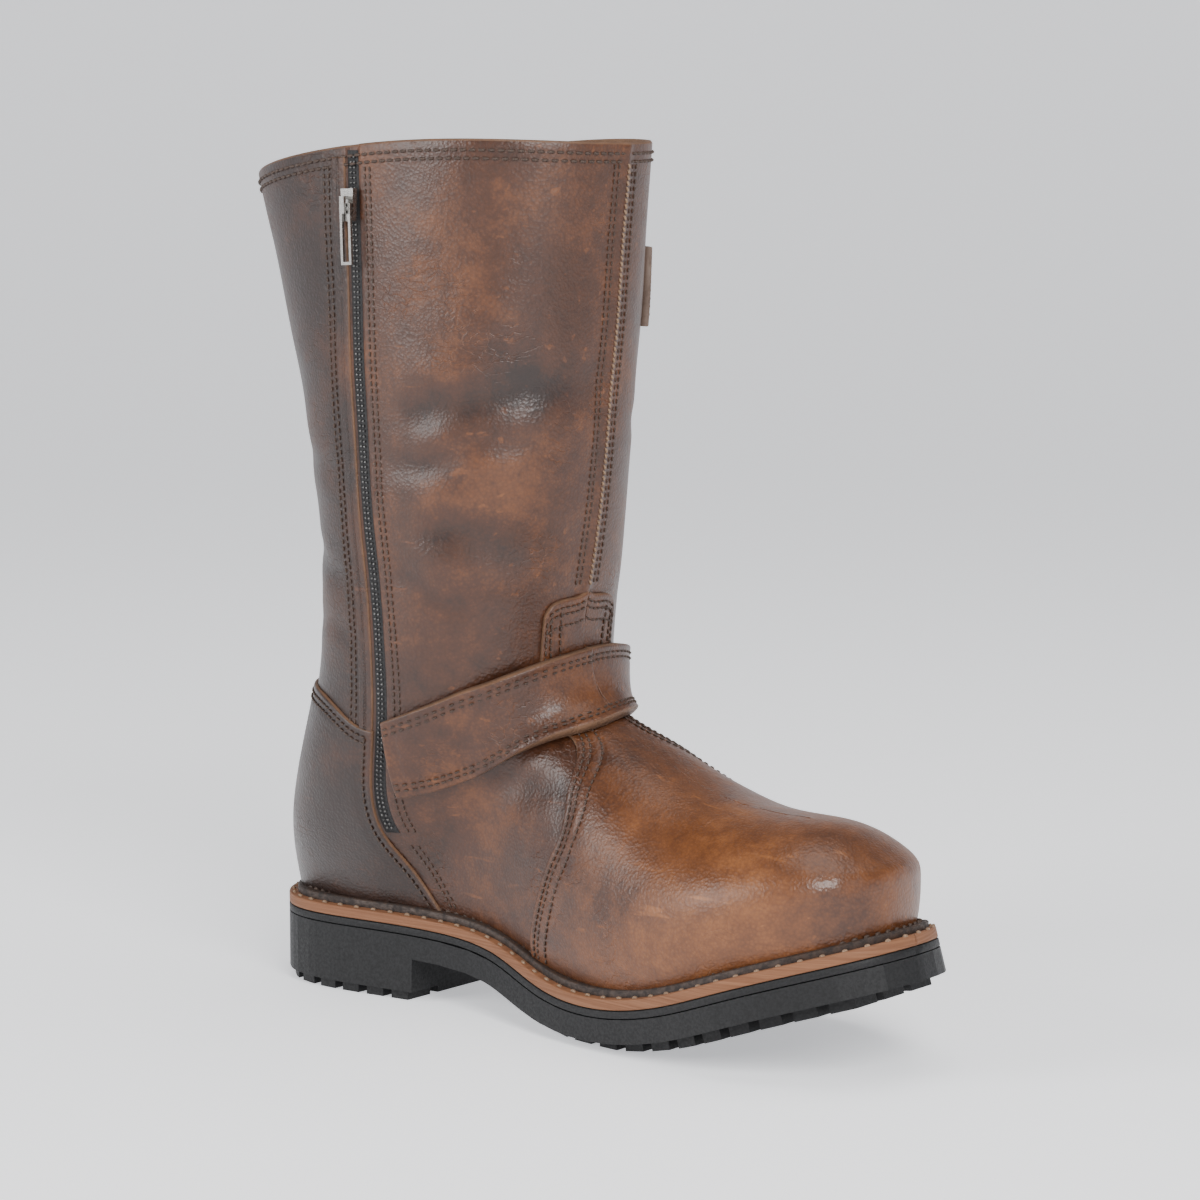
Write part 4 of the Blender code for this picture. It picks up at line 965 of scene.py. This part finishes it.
def hide_group():
    """Oiled hide: mottled browns, lighter along the veins, with painted shade and highlight of the
    folds from the tone input, and with grain and scratches.
    """
    tree, given, wanted = new_group(
        "oiled_hide", [("Place", VECTOR), ("Tone_and_painted_fold_light", FLOAT), ("Raw", FLOAT)],
        [("Colour", COLOUR), ("Roughness", FLOAT), ("Height", FLOAT)])
    place = given["Place"]
    cloud = noise(tree, place, 22.0, 5.0, 0.62)["Fac"]
    mottle = noise(tree, place, 150.0, 4.0, 0.6)["Fac"]
    bent = noise(tree, place, 60.0, 3.0)["Color"]
    stretch = put(tree, "ShaderNodeMapping", {"Vector": place, "Scale": (1.0, 1.0, 2.3)})
    warped = put(tree, "ShaderNodeMix", {0: 0.035, 4: stretch.outputs[0], 5: bent},
                 data_type="VECTOR")
    vein = put(tree, "ShaderNodeTexVoronoi", {"Vector": warped.outputs[1], "Scale": 118.0},
               feature="DISTANCE_TO_EDGE")
    line = between(tree, vein.outputs["Distance"], 0.0, 0.055, 1.0, 0.0)
    where = between(tree, noise(tree, place, 31.0)["Fac"], 0.52, 0.68)
    line = maths(tree, "MULTIPLY", line, where)
    scratched = put(tree, "ShaderNodeMapping", {"Vector": place, "Rotation": (0.4, 0.7, 0.2),
                                                "Scale": (26.0, 260.0, 260.0)})
    nick = between(tree, noise(tree, scratched.outputs[0], 1.0)["Fac"], 0.66, 0.74)
    grain = put(tree, "ShaderNodeTexVoronoi", {"Vector": place, "Scale": 820.0}).outputs["Distance"]
    fine = noise(tree, place, 1500.0)["Fac"]
    # the tone input adds painted shade in fold troughs and painted highlight on fold crests to the
    # lightness
    light = summed(tree, given["Tone_and_painted_fold_light"], (cloud, 0.58), (mottle, 0.26), (line, 0.075), (nick, 0.12),
                   (grain, -0.10))
    ramp = put(tree, "ShaderNodeValToRGB", {"Fac": maths(tree, "ADD", light, -0.39)})
    for _ in HIDE_COLOURS[2:]:
        ramp.color_ramp.elements.new(0.5)
    for element, (at, colour) in zip(ramp.color_ramp.elements, HIDE_COLOURS):
        element.position = at
        element.color = (*colour, 1)
    raw = blend_colour(tree, mottle, *RAW_COLOURS)
    tree.links.new(blend_colour(tree, given["Raw"], ramp.outputs[0], raw), wanted["Colour"])
    rough = between(tree, cloud, 0.3, 0.7, 0.33, 0.47)
    tree.links.new(summed(tree, rough, (given["Raw"], 0.30), (line, 0.12)), wanted["Roughness"])
    sunk = maths(tree, "MULTIPLY", line, -0.5)
    height = summed(tree, sunk, (grain, 0.34), (fine, 0.16), (mottle, 0.55))
    tree.links.new(height, wanted["Height"])
    return tree


def new_material(name, **constants):
    """A material with its surface shader; constants are set on the shader itself."""
    material = bpy.data.materials.new(name)
    material.use_nodes = True
    tree = material.node_tree
    shader = tree.nodes["Principled BSDF"]
    for label, value in constants.items():
        label = label.replace("_", " ").title().replace("Ior", "IOR")
        shader.inputs[label].default_value = (*value, 1) if isinstance(value, tuple) else value
    return material, tree, shader


def object_place(tree):
    """Object coordinates."""
    return put(tree, "ShaderNodeTexCoord").outputs["Object"]


def named_value(tree, name):
    """A value stored at the mesh's points."""
    return put(tree, "ShaderNodeAttribute", attribute_name=name).outputs["Fac"]


def bump(tree, shader, height, distance):
    """Carries a height to the shader's normal."""
    made = put(tree, "ShaderNodeBump", {"Height": height, "Distance": distance, "Strength": 0.5})
    tree.links.new(made.outputs[0], shader.inputs["Normal"])


def leather_material(name, group, **constants):
    """Oiled leather."""
    material, tree, shader = new_material(name, **constants)
    hide = put(tree, "ShaderNodeGroup", node_tree=group)
    tree.links.new(object_place(tree), hide.inputs["Place"])
    # the stored tone brings painted shade in fold troughs and painted highlight on fold crests into
    # the hide's colour
    tree.links.new(named_value(tree, "tone"), hide.inputs["Tone_and_painted_fold_light"])
    tree.links.new(named_value(tree, "raw"), hide.inputs["Raw"])
    tree.links.new(hide.outputs["Colour"], shader.inputs["Base Color"])
    tree.links.new(hide.outputs["Roughness"], shader.inputs["Roughness"])
    bump(tree, shader, hide.outputs["Height"], 0.0008)
    return material


def speckled_material(name, low, high, scale, height, rough=(0.5, 0.8), stretch=(1, 1, 1),
                      **constants):
    """A plain stuff of two close colours with a fine uneven surface."""
    material, tree, shader = new_material(name, **constants)
    place = put(tree, "ShaderNodeMapping", {"Vector": object_place(tree), "Scale": stretch})
    grit = noise(tree, place.outputs[0], scale, 5.0, 0.65)["Fac"]
    share = between(tree, grit, 0.35, 0.65)
    tree.links.new(blend_colour(tree, share, low, high), shader.inputs["Base Color"])
    roughness = between(tree, grit, 0.3, 0.7, rough[1], rough[0])
    tree.links.new(roughness, shader.inputs["Roughness"])
    bump(tree, shader, grit, height)
    return material


HIDE = hide_group()
LEATHER = leather_material("brown_leather", HIDE, specular_ior_level=0.45, coat_weight=0.08,
                           coat_roughness=0.25)
MIDSOLE_LEATHER = speckled_material(
    "tan_leather", (0.150, 0.062, 0.029), (0.205, 0.090, 0.043), 260.0, 0.0002,
    stretch=(0.10, 0.10, 6.0), specular_ior_level=0.3)
WELT_LEATHER = speckled_material(
    "dark_leather", (0.014, 0.008, 0.006), (0.036, 0.018, 0.010), 420.0, 0.0004)
RUBBER = speckled_material(
    "black_rubber", (0.0028, 0.0028, 0.0031), (0.0065, 0.0065, 0.007), 900.0, 0.0002,
    rough=(0.5, 0.66), specular_ior_level=0.35)
FABRIC = speckled_material(
    "zip_fabric", (0.008, 0.008, 0.009), (0.020, 0.019, 0.019), 1400.0, 0.0003, rough=(0.7, 0.9))
THREAD = speckled_material(
    "dark_thread", (0.022, 0.012, 0.008), (0.060, 0.033, 0.020), 2400.0, 0.0002,
    rough=(0.55, 0.75))
LIGHT_THREAD = speckled_material(
    "light_thread", (0.13, 0.075, 0.042), (0.26, 0.165, 0.10), 2400.0, 0.0002,
    rough=(0.55, 0.75))
LINING = speckled_material(
    "lining_leather", (0.060, 0.034, 0.021), (0.085, 0.050, 0.032), 160.0, 0.0001,
    rough=(0.45, 0.6))
NUBUCK = speckled_material(
    "grey_brown_leather", (0.075, 0.047, 0.034), (0.115, 0.076, 0.056), 140.0, 0.0002,
    rough=(0.6, 0.85))
NICKEL = speckled_material(
    "nickel", (0.36, 0.35, 0.335), (0.50, 0.485, 0.46), 700.0, 0.00006, rough=(0.16, 0.30),
    metallic=1.0)
TEETH = speckled_material(
    "zip_teeth_metal", (0.10, 0.10, 0.098), (0.22, 0.215, 0.21), 900.0, 0.0001,
    rough=(0.3, 0.45), metallic=1.0)
GUNMETAL = speckled_material(
    "gunmetal", (0.030, 0.029, 0.028), (0.060, 0.058, 0.055), 700.0, 0.0001, rough=(0.3, 0.45),
    metallic=1.0)


def make_upper_leather():
    """The hollow upper: folded skin outside, zip slot, front seam ridge and rolled rim."""
    normal = outward(GRID)
    lift = relief(GRID)
    across = np.arange(WIDE) - (FRONT - VAMP_STEPS - QUARTER_STEPS - SLOT_STEPS)
    slot = ((across > 0) & (across < SLOT_STEPS)).astype(float)
    deep = slot[None] * ease(GRID[..., 2], ZIP_BOTTOM - 0.001, ZIP_BOTTOM + 0.0015)
    front = np.linalg.norm(GRID - GRID[:, FRONT:FRONT + 1], axis=2)
    ridge = RIDGE_HEIGHT * np.exp(-(front / 0.0026)**2) * ease(GRID[..., 2], 0.150, 0.158)
    skin = GRID + normal * (lift - ZIP_DEPTH * deep + ridge)[..., None]
    under = GRID + normal * (lift - ZIP_DEPTH * deep - SKIN)[..., None]
    rim = []
    for share in (0.12, 0.5, 0.88):
        roll = skin[-1] * (1 - share) + under[-1] * share
        roll[:, 2] += RIM_ROLL * math.sin(math.pi * share)
        rim.append(roll)
    outer = np.concatenate([skin, np.array(rim[:2])])
    inner = np.concatenate([under, np.array([rim[2], (rim[1] + rim[2]) / 2])])
    # lightness at each point, including painted shade in fold troughs and painted highlight on fold
    # crests
    light = tone(outer).ravel()
    raw = np.zeros(outer.shape[:2])
    raw[-2:] = 0.8
    piece("upper_leather", stacked(outer, inner), tube_faces(*outer.shape[:2]), LEATHER,
          "brown_leather", ("upper",), tone=np.concatenate([light, light]),
          raw=np.concatenate([raw.ravel(), np.ones(raw.size)]))


def make_lining():
    """The thin lining inside the shaft and the foot."""
    pick = GRID[::3][:, ::2]
    normal = outward(pick)
    high = pick + normal * (relief(pick) - LINING_DEPTH)[..., None]
    low = high - normal * LINING_THICK
    for sheet in (high, low):
        sheet[-1, :, 2] -= 0.0006
    piece("lining", stacked(high, low), tube_faces(*pick.shape[:2]), LINING, "tan_leather")


def cut(grid, low_at, high_at):
    """Each column of a grid cut between two heights of its own, into even steps."""
    made = []
    for j in range(grid.shape[1]):
        line = grid[:, j]
        gone = distances_along(line)
        low = np.interp(0, low_at(j, line), gone)
        high = np.interp(0, high_at(j, line), gone)
        at = np.linspace(low, high, 130)
        made.append(np.stack([np.interp(at, gone, line[:, i]) for i in range(3)], -1))
    return np.stack(made, 1)


def at_welt(place, line):
    """How far points lie above the line at which a layer dips behind the welt."""
    return line[:, 2] - sole_top(line[:, 0]) - WELT + WELT_LAP


def make_vamp_leather():
    """The vamp with its tab, and the stitch rows along its edges."""
    def below_top(j, line):
        share = (j - VAMP_STEPS) / VAMP_STEPS
        peak = 0.0016 * math.exp(-(share / 0.10)**2)
        return line[:, 2] - (TAB_TOP - TAB_DROP * abs(share)**3 + peak)
    grid = cut(ring_columns(-VAMP_STEPS, VAMP_STEPS), at_welt, below_top)
    make_layer("vamp_leather", grid, -TUCK, LAYER + TUCK, LEATHER, "brown_leather", ("vamp",),
               (0, 1, 1, 1), 120, 100, grooves=VAMP_ROWS, shade=0.05)
    lines = []
    for side, start in (("left", 0.003), ("right", 0.003), ("high", 0.004)):
        lines += seam_rows(grid, LAYER - THREAD_SET, side, VAMP_ROWS, (start, 0.004))
    make_stitches("vamp_stitches", lines, THREAD, "dark_leather")


def make_counter_leather():
    """The heel counter and the stitch rows along its edges."""
    def below_top(j, line):
        share = line[:, 0] / SOLE_LENGTH
        edge = smooth(share, column(COUNTER_EDGE, "along"), column(COUNTER_EDGE, "up"))
        return line[:, 2] - SHAFT_HEIGHT * edge
    side_steps = VAMP_STEPS + QUARTER_STEPS
    columns = ring_columns(side_steps, WIDE - side_steps - SLOT_STEPS)
    grid = cut(columns, at_welt, below_top)
    make_layer("counter_leather", grid, -TUCK, COUNTER_LAYER + TUCK, LEATHER, "brown_leather",
               ("heel_counter",), (0, 1, 1, 1), 90, 100, grooves=COUNTER_ROWS, shade=-0.02)
    lines = []
    for side, rows in (("high", COUNTER_ROWS), ("left", COUNTER_ROWS), ("right", (0.0035,))):
        lines += seam_rows(grid, COUNTER_LAYER - THREAD_SET, side, rows, (0.003, 0.003))
    make_stitches("counter_stitches", lines, THREAD, "dark_leather")


def band_grid(start, end, edges, centre, stations=150):
    """Surface points under a strap between two angles: rows across it, columns along it."""
    angle = np.linspace(start, end, stations)
    low, high = edges(angle)
    return np.stack([wrap(np.radians(angle), low + (high - low) * share, centre)
                     for share in np.linspace(0, 1, 9)])


def strap_edges(angle):
    """Heights of the instep strap's lower and upper edge in a direction from the ankle."""
    angles = column(STRAP_BAND, "angle")
    return [SHAFT_HEIGHT * smooth(angle, angles, column(STRAP_BAND, name))
            for name in ("lower", "upper")]


def shaft_edges(angle):
    """Heights of the shaft strap's edges."""
    half = SHAFT_STRAP_WIDTH / 2
    return SHAFT_STRAP_HEIGHT - half + 0 * angle, SHAFT_STRAP_HEIGHT + half + 0 * angle


def instep_lift(points):
    """Height of the instep strap's underside: it climbs over the vamp at the front."""
    angle = np.degrees(np.arctan2(points[..., 1] - ANKLE[1], points[..., 0] - ANKLE[0]))
    return 0.0004 + (1 - ease(np.abs(angle + 2), 46, 62)) * STRAP_CLIMB


def make_instep_strap():
    """The instep strap with two dark stitch rows along each edge."""
    grid = band_grid(STRAP_START, STRAP_END, strap_edges, ANKLE)
    make_layer("instep_strap_leather", grid, instep_lift, STRAP, LEATHER, "brown_leather",
               ("instep_strap",), rows=22, columns=190, rounding=0.0007, grooves=STRAP_ROWS,
               shade=0.03)
    lines = []
    for side in ("low", "high"):
        for points, _ in seam_rows(grid, 0, side, STRAP_ROWS):
            lines += split_by_height(points, instep_lift(points) + STRAP - THREAD_SET)
    make_stitches("instep_strap_stitches", lines, THREAD, "dark_leather")


def make_strap_ends():
    """The instep strap's loose end, the shaft strap and its tab, with one set of stitches."""
    grid = band_grid(CHAPE_START, CHAPE_END, strap_edges, ANKLE, 40)
    make_layer("instep_strap_end_leather", grid, CHAPE_LIFT, STRAP, LEATHER, "brown_leather",
               ("instep_strap_end",), rows=22, columns=40, rounding=0.0007,
               grooves=STRAP_ROWS[:1])
    lines = []
    for side in ("low", "high", "right"):
        lines += seam_rows(grid, CHAPE_LIFT + STRAP - THREAD_SET, side, STRAP_ROWS[:1])
    grid = band_grid(SHAFT_TAB_START, SHAFT_TAB_END, shaft_edges, SHAFT_CENTRE, 60)
    make_layer("shaft_tab_leather", grid, 0.0002, SHAFT_STRAP, NUBUCK, "dark_leather",
               ("shaft_strap_tab",), rows=24, columns=60, rounding=0.0006, grooves=STRAP_ROWS[:1])
    for side in ("low", "high", "left", "right"):
        lines += seam_rows(grid, SHAFT_STRAP, side, STRAP_ROWS[:1], (0.003, 0.003))
    for first, last in ((0, 8), (8, 0)):
        lines.append((cross_line(grid, first, last), SHAFT_STRAP))
    grid = band_grid(SHAFT_STRAP_START, SHAFT_STRAP_END, shaft_edges, SHAFT_CENTRE, 100)
    make_layer("shaft_strap_leather", grid, 0.0002, SHAFT_STRAP, LEATHER, "brown_leather",
               ("shaft_strap",), rows=24, columns=100, rounding=0.0006, grooves=STRAP_ROWS)
    for side in ("low", "high"):
        lines += seam_rows(grid, SHAFT_STRAP, side, STRAP_ROWS, (0.003, 0.003))
    make_stitches("shaft_strap_stitches", lines, THREAD, "dark_leather")


def split_by_height(points, lift, count=24):
    """A line with a height at each point, as short lines with one height each."""
    marks = np.linspace(0, len(points) - 1, count + 1).astype(int)
    return [(points[a:b + 1], float(np.mean(lift[a:b + 1])))
            for a, b in zip(marks[:-1], marks[1:])]


def cross_line(grid, first, last):
    """A slanting line over a strap's surface points, from one row to another."""
    wide = grid.shape[1]
    j = np.linspace(wide * 0.16, wide * 0.80, 30)
    i = np.linspace(first + (1 if first < last else -1), last + (-1 if first < last else 1), 30)
    low = np.floor(j).astype(int)
    part = (j - low)[:, None]
    row = np.floor(np.clip(i, 0, 7.999)).astype(int)
    over = (i - row)[:, None]
    upper = grid[row, low] * (1 - part) + grid[row, low + 1] * part
    lower = grid[row + 1, low] * (1 - part) + grid[row + 1, low + 1] * part
    return upper * (1 - over) + lower * over


def zip_point(z, aside=0.0):
    """Surface point on the zip's line at a height, moved along the surface towards the toe."""
    return side_point(zip_distance(z) + aside, z, -1)


def make_zip_parts():
    """The zip's tape, its two rows of teeth, and the stitching beside it."""
    z = np.linspace(ZIP_BOTTOM + 0.0015, ZIP_TOP + 0.0045, 180)
    half = ZIP_SLOT / 2 - 0.0002
    grid = np.stack([zip_point(z, aside) for aside in (-half, -0.0022, 0.0, 0.0022, half)])
    normal = outward(grid)
    high = grid + normal * (relief(grid) - ZIP_DEPTH + 0.0006)[..., None]
    low = grid + normal * (relief(grid) - ZIP_DEPTH - 0.0002)[..., None]
    piece("zip_fabric", stacked(high, low), sheet_faces(*grid.shape[:2]), FABRIC, "zip_fabric",
          ("zip_tape",))
    z = np.linspace(ZIP_BOTTOM + 0.003, ZIP_TOP + 0.003, 300)
    lines = [(zip_point(z, aside), TEETH_LIFT - ZIP_DEPTH) for aside in (-TEETH_ASIDE, TEETH_ASIDE)]
    make_stitches("zip_teeth", lines, TEETH, "gunmetal", pitch=0.0019, share=0.50, radius=0.00050,
                  sink=0.1)
    z = np.linspace(ZIP_BOTTOM + 0.002, ZIP_TOP - 0.001, 240)
    lines = [(zip_point(z, aside), -THREAD_LOW) for aside in (-0.0150, -0.0124, 0.0062, 0.0086)]
    z = np.linspace(sole_top(0.095) + WELT + 0.002, ZIP_BOTTOM - 0.003, 60)
    lines += [(zip_point(z, aside), -THREAD_LOW) for aside in (0.0035, 0.0061)]
    make_stitches("zip_stitches", lines, THREAD, "dark_leather")


def make_zip_facing():
    """The narrow raised strip of leather behind the zip."""
    z = np.linspace(ZIP_BOTTOM - 0.004, ZIP_TOP + 0.002, 200)
    across = np.linspace(-0.0100, -ZIP_SLOT / 2 - 0.0002, 6)
    grid = np.stack([zip_point(z, aside) for aside in across], 1)
    make_layer("zip_facing", grid, -0.0002, 0.0012, LEATHER, "brown_leather", (), rows=200,
               columns=8, rounding=0.0006)


def make_front_seam():
    """The twisted thread on the ridge of the front seam, with two dark rows on each side."""
    pick = (FRONT_LINE[:, 1] > SEAM_LOW) & (FRONT_LINE[:, 1] < RIM_FRONT - 0.003)
    line = FRONT_LINE[pick]
    middle = np.column_stack([line[:, 0], top_line(line[:, 0]), line[:, 1]])
    make_stitches("front_seam_thread", [(middle, 0.0011)], LIGHT_THREAD, "tan_leather",
                  pitch=0.0021, share=0.95, radius=0.00055, lean=0.45)
    rows = []
    for aside in (-0.0042, -0.0066, 0.0042, 0.0066):
        found = np.stack([front_point(y + aside, z) for _, y, z in middle[::4]])
        rows.append((found, -THREAD_LOW))
    make_stitches("front_seam_stitches", rows, THREAD, "dark_leather")


def front_point(y, z):
    """Surface point met from the front at a sideways place and a height."""
    def point_at(far):
        return SHAFT_CENTRE[0] + far, y + 0 * far, z + 0 * far
    return np.stack(point_at(leave(point_at, np.array(0.2), marches=60)), -1)


def make_rim_stitches():
    """Two thick rows just under the raw rim."""
    lines = []
    for down in (0.0032, 0.0062):
        ring = [along(line, np.array([down / length(line)]))[0]
                for line in GRID[:-21:-1].swapaxes(0, 1)]
        lines.append((np.array(ring + ring[:1]), -THREAD_LOW))
    make_stitches("rim_stitches", lines, THREAD, "dark_leather", pitch=0.0036, share=0.78,
                  radius=0.0006)


def inset_edge(shares, side, inset):
    """The sole's edge moved inwards by an inset, as share and width pairs."""
    tiny = 1e-3
    low, high = np.clip(shares - tiny, 0, 1), np.clip(shares + tiny, 0, 1)
    run = (high - low) * SOLE_LENGTH
    grow = sole_edge(high, side) - sole_edge(low, side)
    long = np.hypot(run, grow)
    x = shares * SOLE_LENGTH + side * grow / long * inset
    y = sole_edge(shares, side) - side * run / long * inset
    return x / SOLE_LENGTH, y


def sole_slab(name, low, high, rounding, material, slot, stands_for):
    """A layer of the sole with rounded edges, finely stepped along its outline."""
    shares = (1 - np.cos(np.linspace(0.006, math.pi - 0.006, 260))) / 2
    tall = high - low
    soft = rounding * 0.3
    path = [(rounding, 0), (soft, soft), (0, rounding), (0, tall - rounding), (soft, tall - soft),
            (rounding, tall)]
    sections = []
    for side, steps in ((-1, path), (1, path[::-1])):
        for inset, height in steps:
            where, y = inset_edge(shares, side, inset)
            sections.append(over_sole(where, y, low + height))
    wide = len(sections)
    count = wide * len(shares)
    faces = quads(len(shares), wide, closed=True).tolist()
    faces += [list(range(wide)), list(range(count - wide, count))]
    piece(name, np.stack(sections, 1), faces, material, slot, stands_for, sharp=50)


def sole_loop(inset, height, half=230):
    """Points round the sole at an inset from its edge and a height over the leather midsole."""
    shares = (1 - np.cos(np.linspace(math.pi, 0, 240))) / 2
    sides = []
    for side in (1, -1):
        where, y = inset_edge(shares, side, inset)
        sides.append(np.stack([where * SOLE_LENGTH, y], 1))
    loop = np.concatenate([along(sides[0], half + 1)[:-1], along(sides[1][::-1], half + 1)[:-1]])
    return np.column_stack([loop, sole_top(loop[:, 0]) + height])


def make_sole_layers():
    """The two midsoles, the welt and the stitches on both."""
    sole_slab("midsole_leather", 0.0001, LEATHER_MIDSOLE, 0.0005, MIDSOLE_LEATHER, "tan_leather",
              ("leather_midsole",))
    sole_slab("midsole_rubber", -RUBBER_MIDSOLE, -0.0001, 0.0004, RUBBER, "black_rubber",
              ("rubber_midsole",))
    section = ((0, 0.0001), (0, WELT - 0.0006), (0.0006, WELT), (0.0040, WELT),
               (0.0085, WELT + 0.0004), (0.0085, 0.0001))
    stack = np.array([sole_loop(WELT_SET + inset, height) for inset, height in section])
    rows, wide = stack.shape[:2]
    faces = quads(rows + 1, wide, closed=True) % (rows * wide)
    piece("welt_leather", stack, faces, WELT_LEATHER, "dark_leather", ("welt",), sharp=50)
    make_loop_stitches("welt_stitches", sole_loop(WELT_SET + 0.0030, WELT), 0.0044, 0.62, 0.00075,
                       THREAD, 0.35)
    make_loop_stitches("midsole_stitches", sole_loop(0.0017, 0.0), 0.0080, 0.30, 0.00070,
                       LIGHT_THREAD)


def dress_cad(name, material, bevel, slot):
    """Gives a solid that stays its bevelled edges and its material."""
    node = NODES[name]
    node.data.materials.clear()
    node.data.materials.append(material)
    edge = node.modifiers.new("edge", "BEVEL")
    edge.width = bevel
    edge.segments = 2
    edge.limit_method = "ANGLE"
    edge.angle_limit = math.radians(35)
    node.data.shade_smooth()
    node.data.set_sharp_from_angle(angle=math.radians(35))


# the studio
FLAT_RADIUS = 2.6
BOWL_RADIUS = 1.6
LIT_POINT = (0.09, 0, 0.13)
LAMPS = (
    ("key", (1.35, -0.80, 1.05), 0.75, 30),
    ("side", (-0.75, -1.55, 0.85), 0.9, 24),
    ("top", (0.3, 0.2, 1.9), 1.4, 16),
)
CAMERA_PLACE = (0.9581, -1.0500, 0.3278)
CAMERA_DIRECTION = (-0.6231, 0.7741, -0.1247)
LENS = 109.05


def make_floor():
    """A pale floor: flat to a radius, then a wide quarter circle that rises far away."""
    turn_up = np.linspace(0.05, 1.5, 24)
    radii = np.concatenate([np.linspace(0.001, FLAT_RADIUS, 30),
                            FLAT_RADIUS + BOWL_RADIUS * np.sin(turn_up)])
    heights = np.concatenate([np.zeros(30), BOWL_RADIUS * (1 - np.cos(turn_up))])
    around = np.linspace(0, 2 * math.pi, 96, endpoint=False)
    points = np.stack([radii[:, None] * np.cos(around), radii[:, None] * np.sin(around),
                       heights[:, None] + 0 * around], -1)
    mesh = bpy.data.meshes.new("floor")
    faces = quads(len(radii), len(around), closed=True)
    mesh.from_pydata(points.reshape(-1, 3).tolist(), [], faces.tolist())
    mesh.shade_smooth()
    material, _, _ = new_material("pale_floor", base_color=(0.86, 0.86, 0.87), roughness=0.7,
                                  emission_color=(0.95, 0.96, 1.0), emission_strength=0.62)
    mesh.materials.append(material)
    floor = bpy.data.objects.new("floor", mesh)
    bpy.context.scene.collection.objects.link(floor)


def set_facing(thing, place, direction):
    """Puts a lamp or a camera at a place and points it."""
    thing.location = place
    thing.rotation_mode = "QUATERNION"
    thing.rotation_quaternion = Vector(direction).to_track_quat("-Z", "Y")
    bpy.context.scene.collection.objects.link(thing)


def make_lights():
    """A faint even sky and three soft lamps."""
    world = bpy.data.worlds.new("studio")
    bpy.context.scene.world = world
    world.use_nodes = True
    shade = world.node_tree.nodes["Background"]
    shade.inputs["Color"].default_value = (0.96, 0.97, 1.0, 1)
    shade.inputs["Strength"].default_value = 0.20
    for name, place, size, power in LAMPS:
        data = bpy.data.lights.new(name, "AREA")
        data.size = size
        data.energy = power
        lamp = bpy.data.objects.new(name, data)
        set_facing(lamp, place, Vector(LIT_POINT) - Vector(place))


def make_camera():
    """The camera, where the photograph was taken from."""
    data = bpy.data.cameras.new("camera")
    data.sensor_width = 36
    data.lens = LENS
    camera = bpy.data.objects.new("camera", data)
    set_facing(camera, CAMERA_PLACE, CAMERA_DIRECTION)
    bpy.context.scene.camera = camera


make_upper_leather()
make_lining()
make_vamp_leather()
make_counter_leather()
make_instep_strap()
make_strap_ends()
make_zip_parts()
make_zip_facing()
make_front_seam()
make_rim_stitches()
make_sole_layers()
for node, material, bevel, slot in (
        ("outsole", RUBBER, 0.0004, "black_rubber"), ("insole", LINING, 0.0003, "tan_leather"),
        ("instep_buckle", NICKEL, 0.0007, "nickel"), ("shaft_buckle", GUNMETAL, 0.0007, "gunmetal"),
        ("zip_slider", NICKEL, 0.0004, "nickel"), ("zip_pull", NICKEL, 0.0003, "nickel")):
    dress_cad(node, material, bevel, slot)
make_floor()
make_lights()
make_camera()
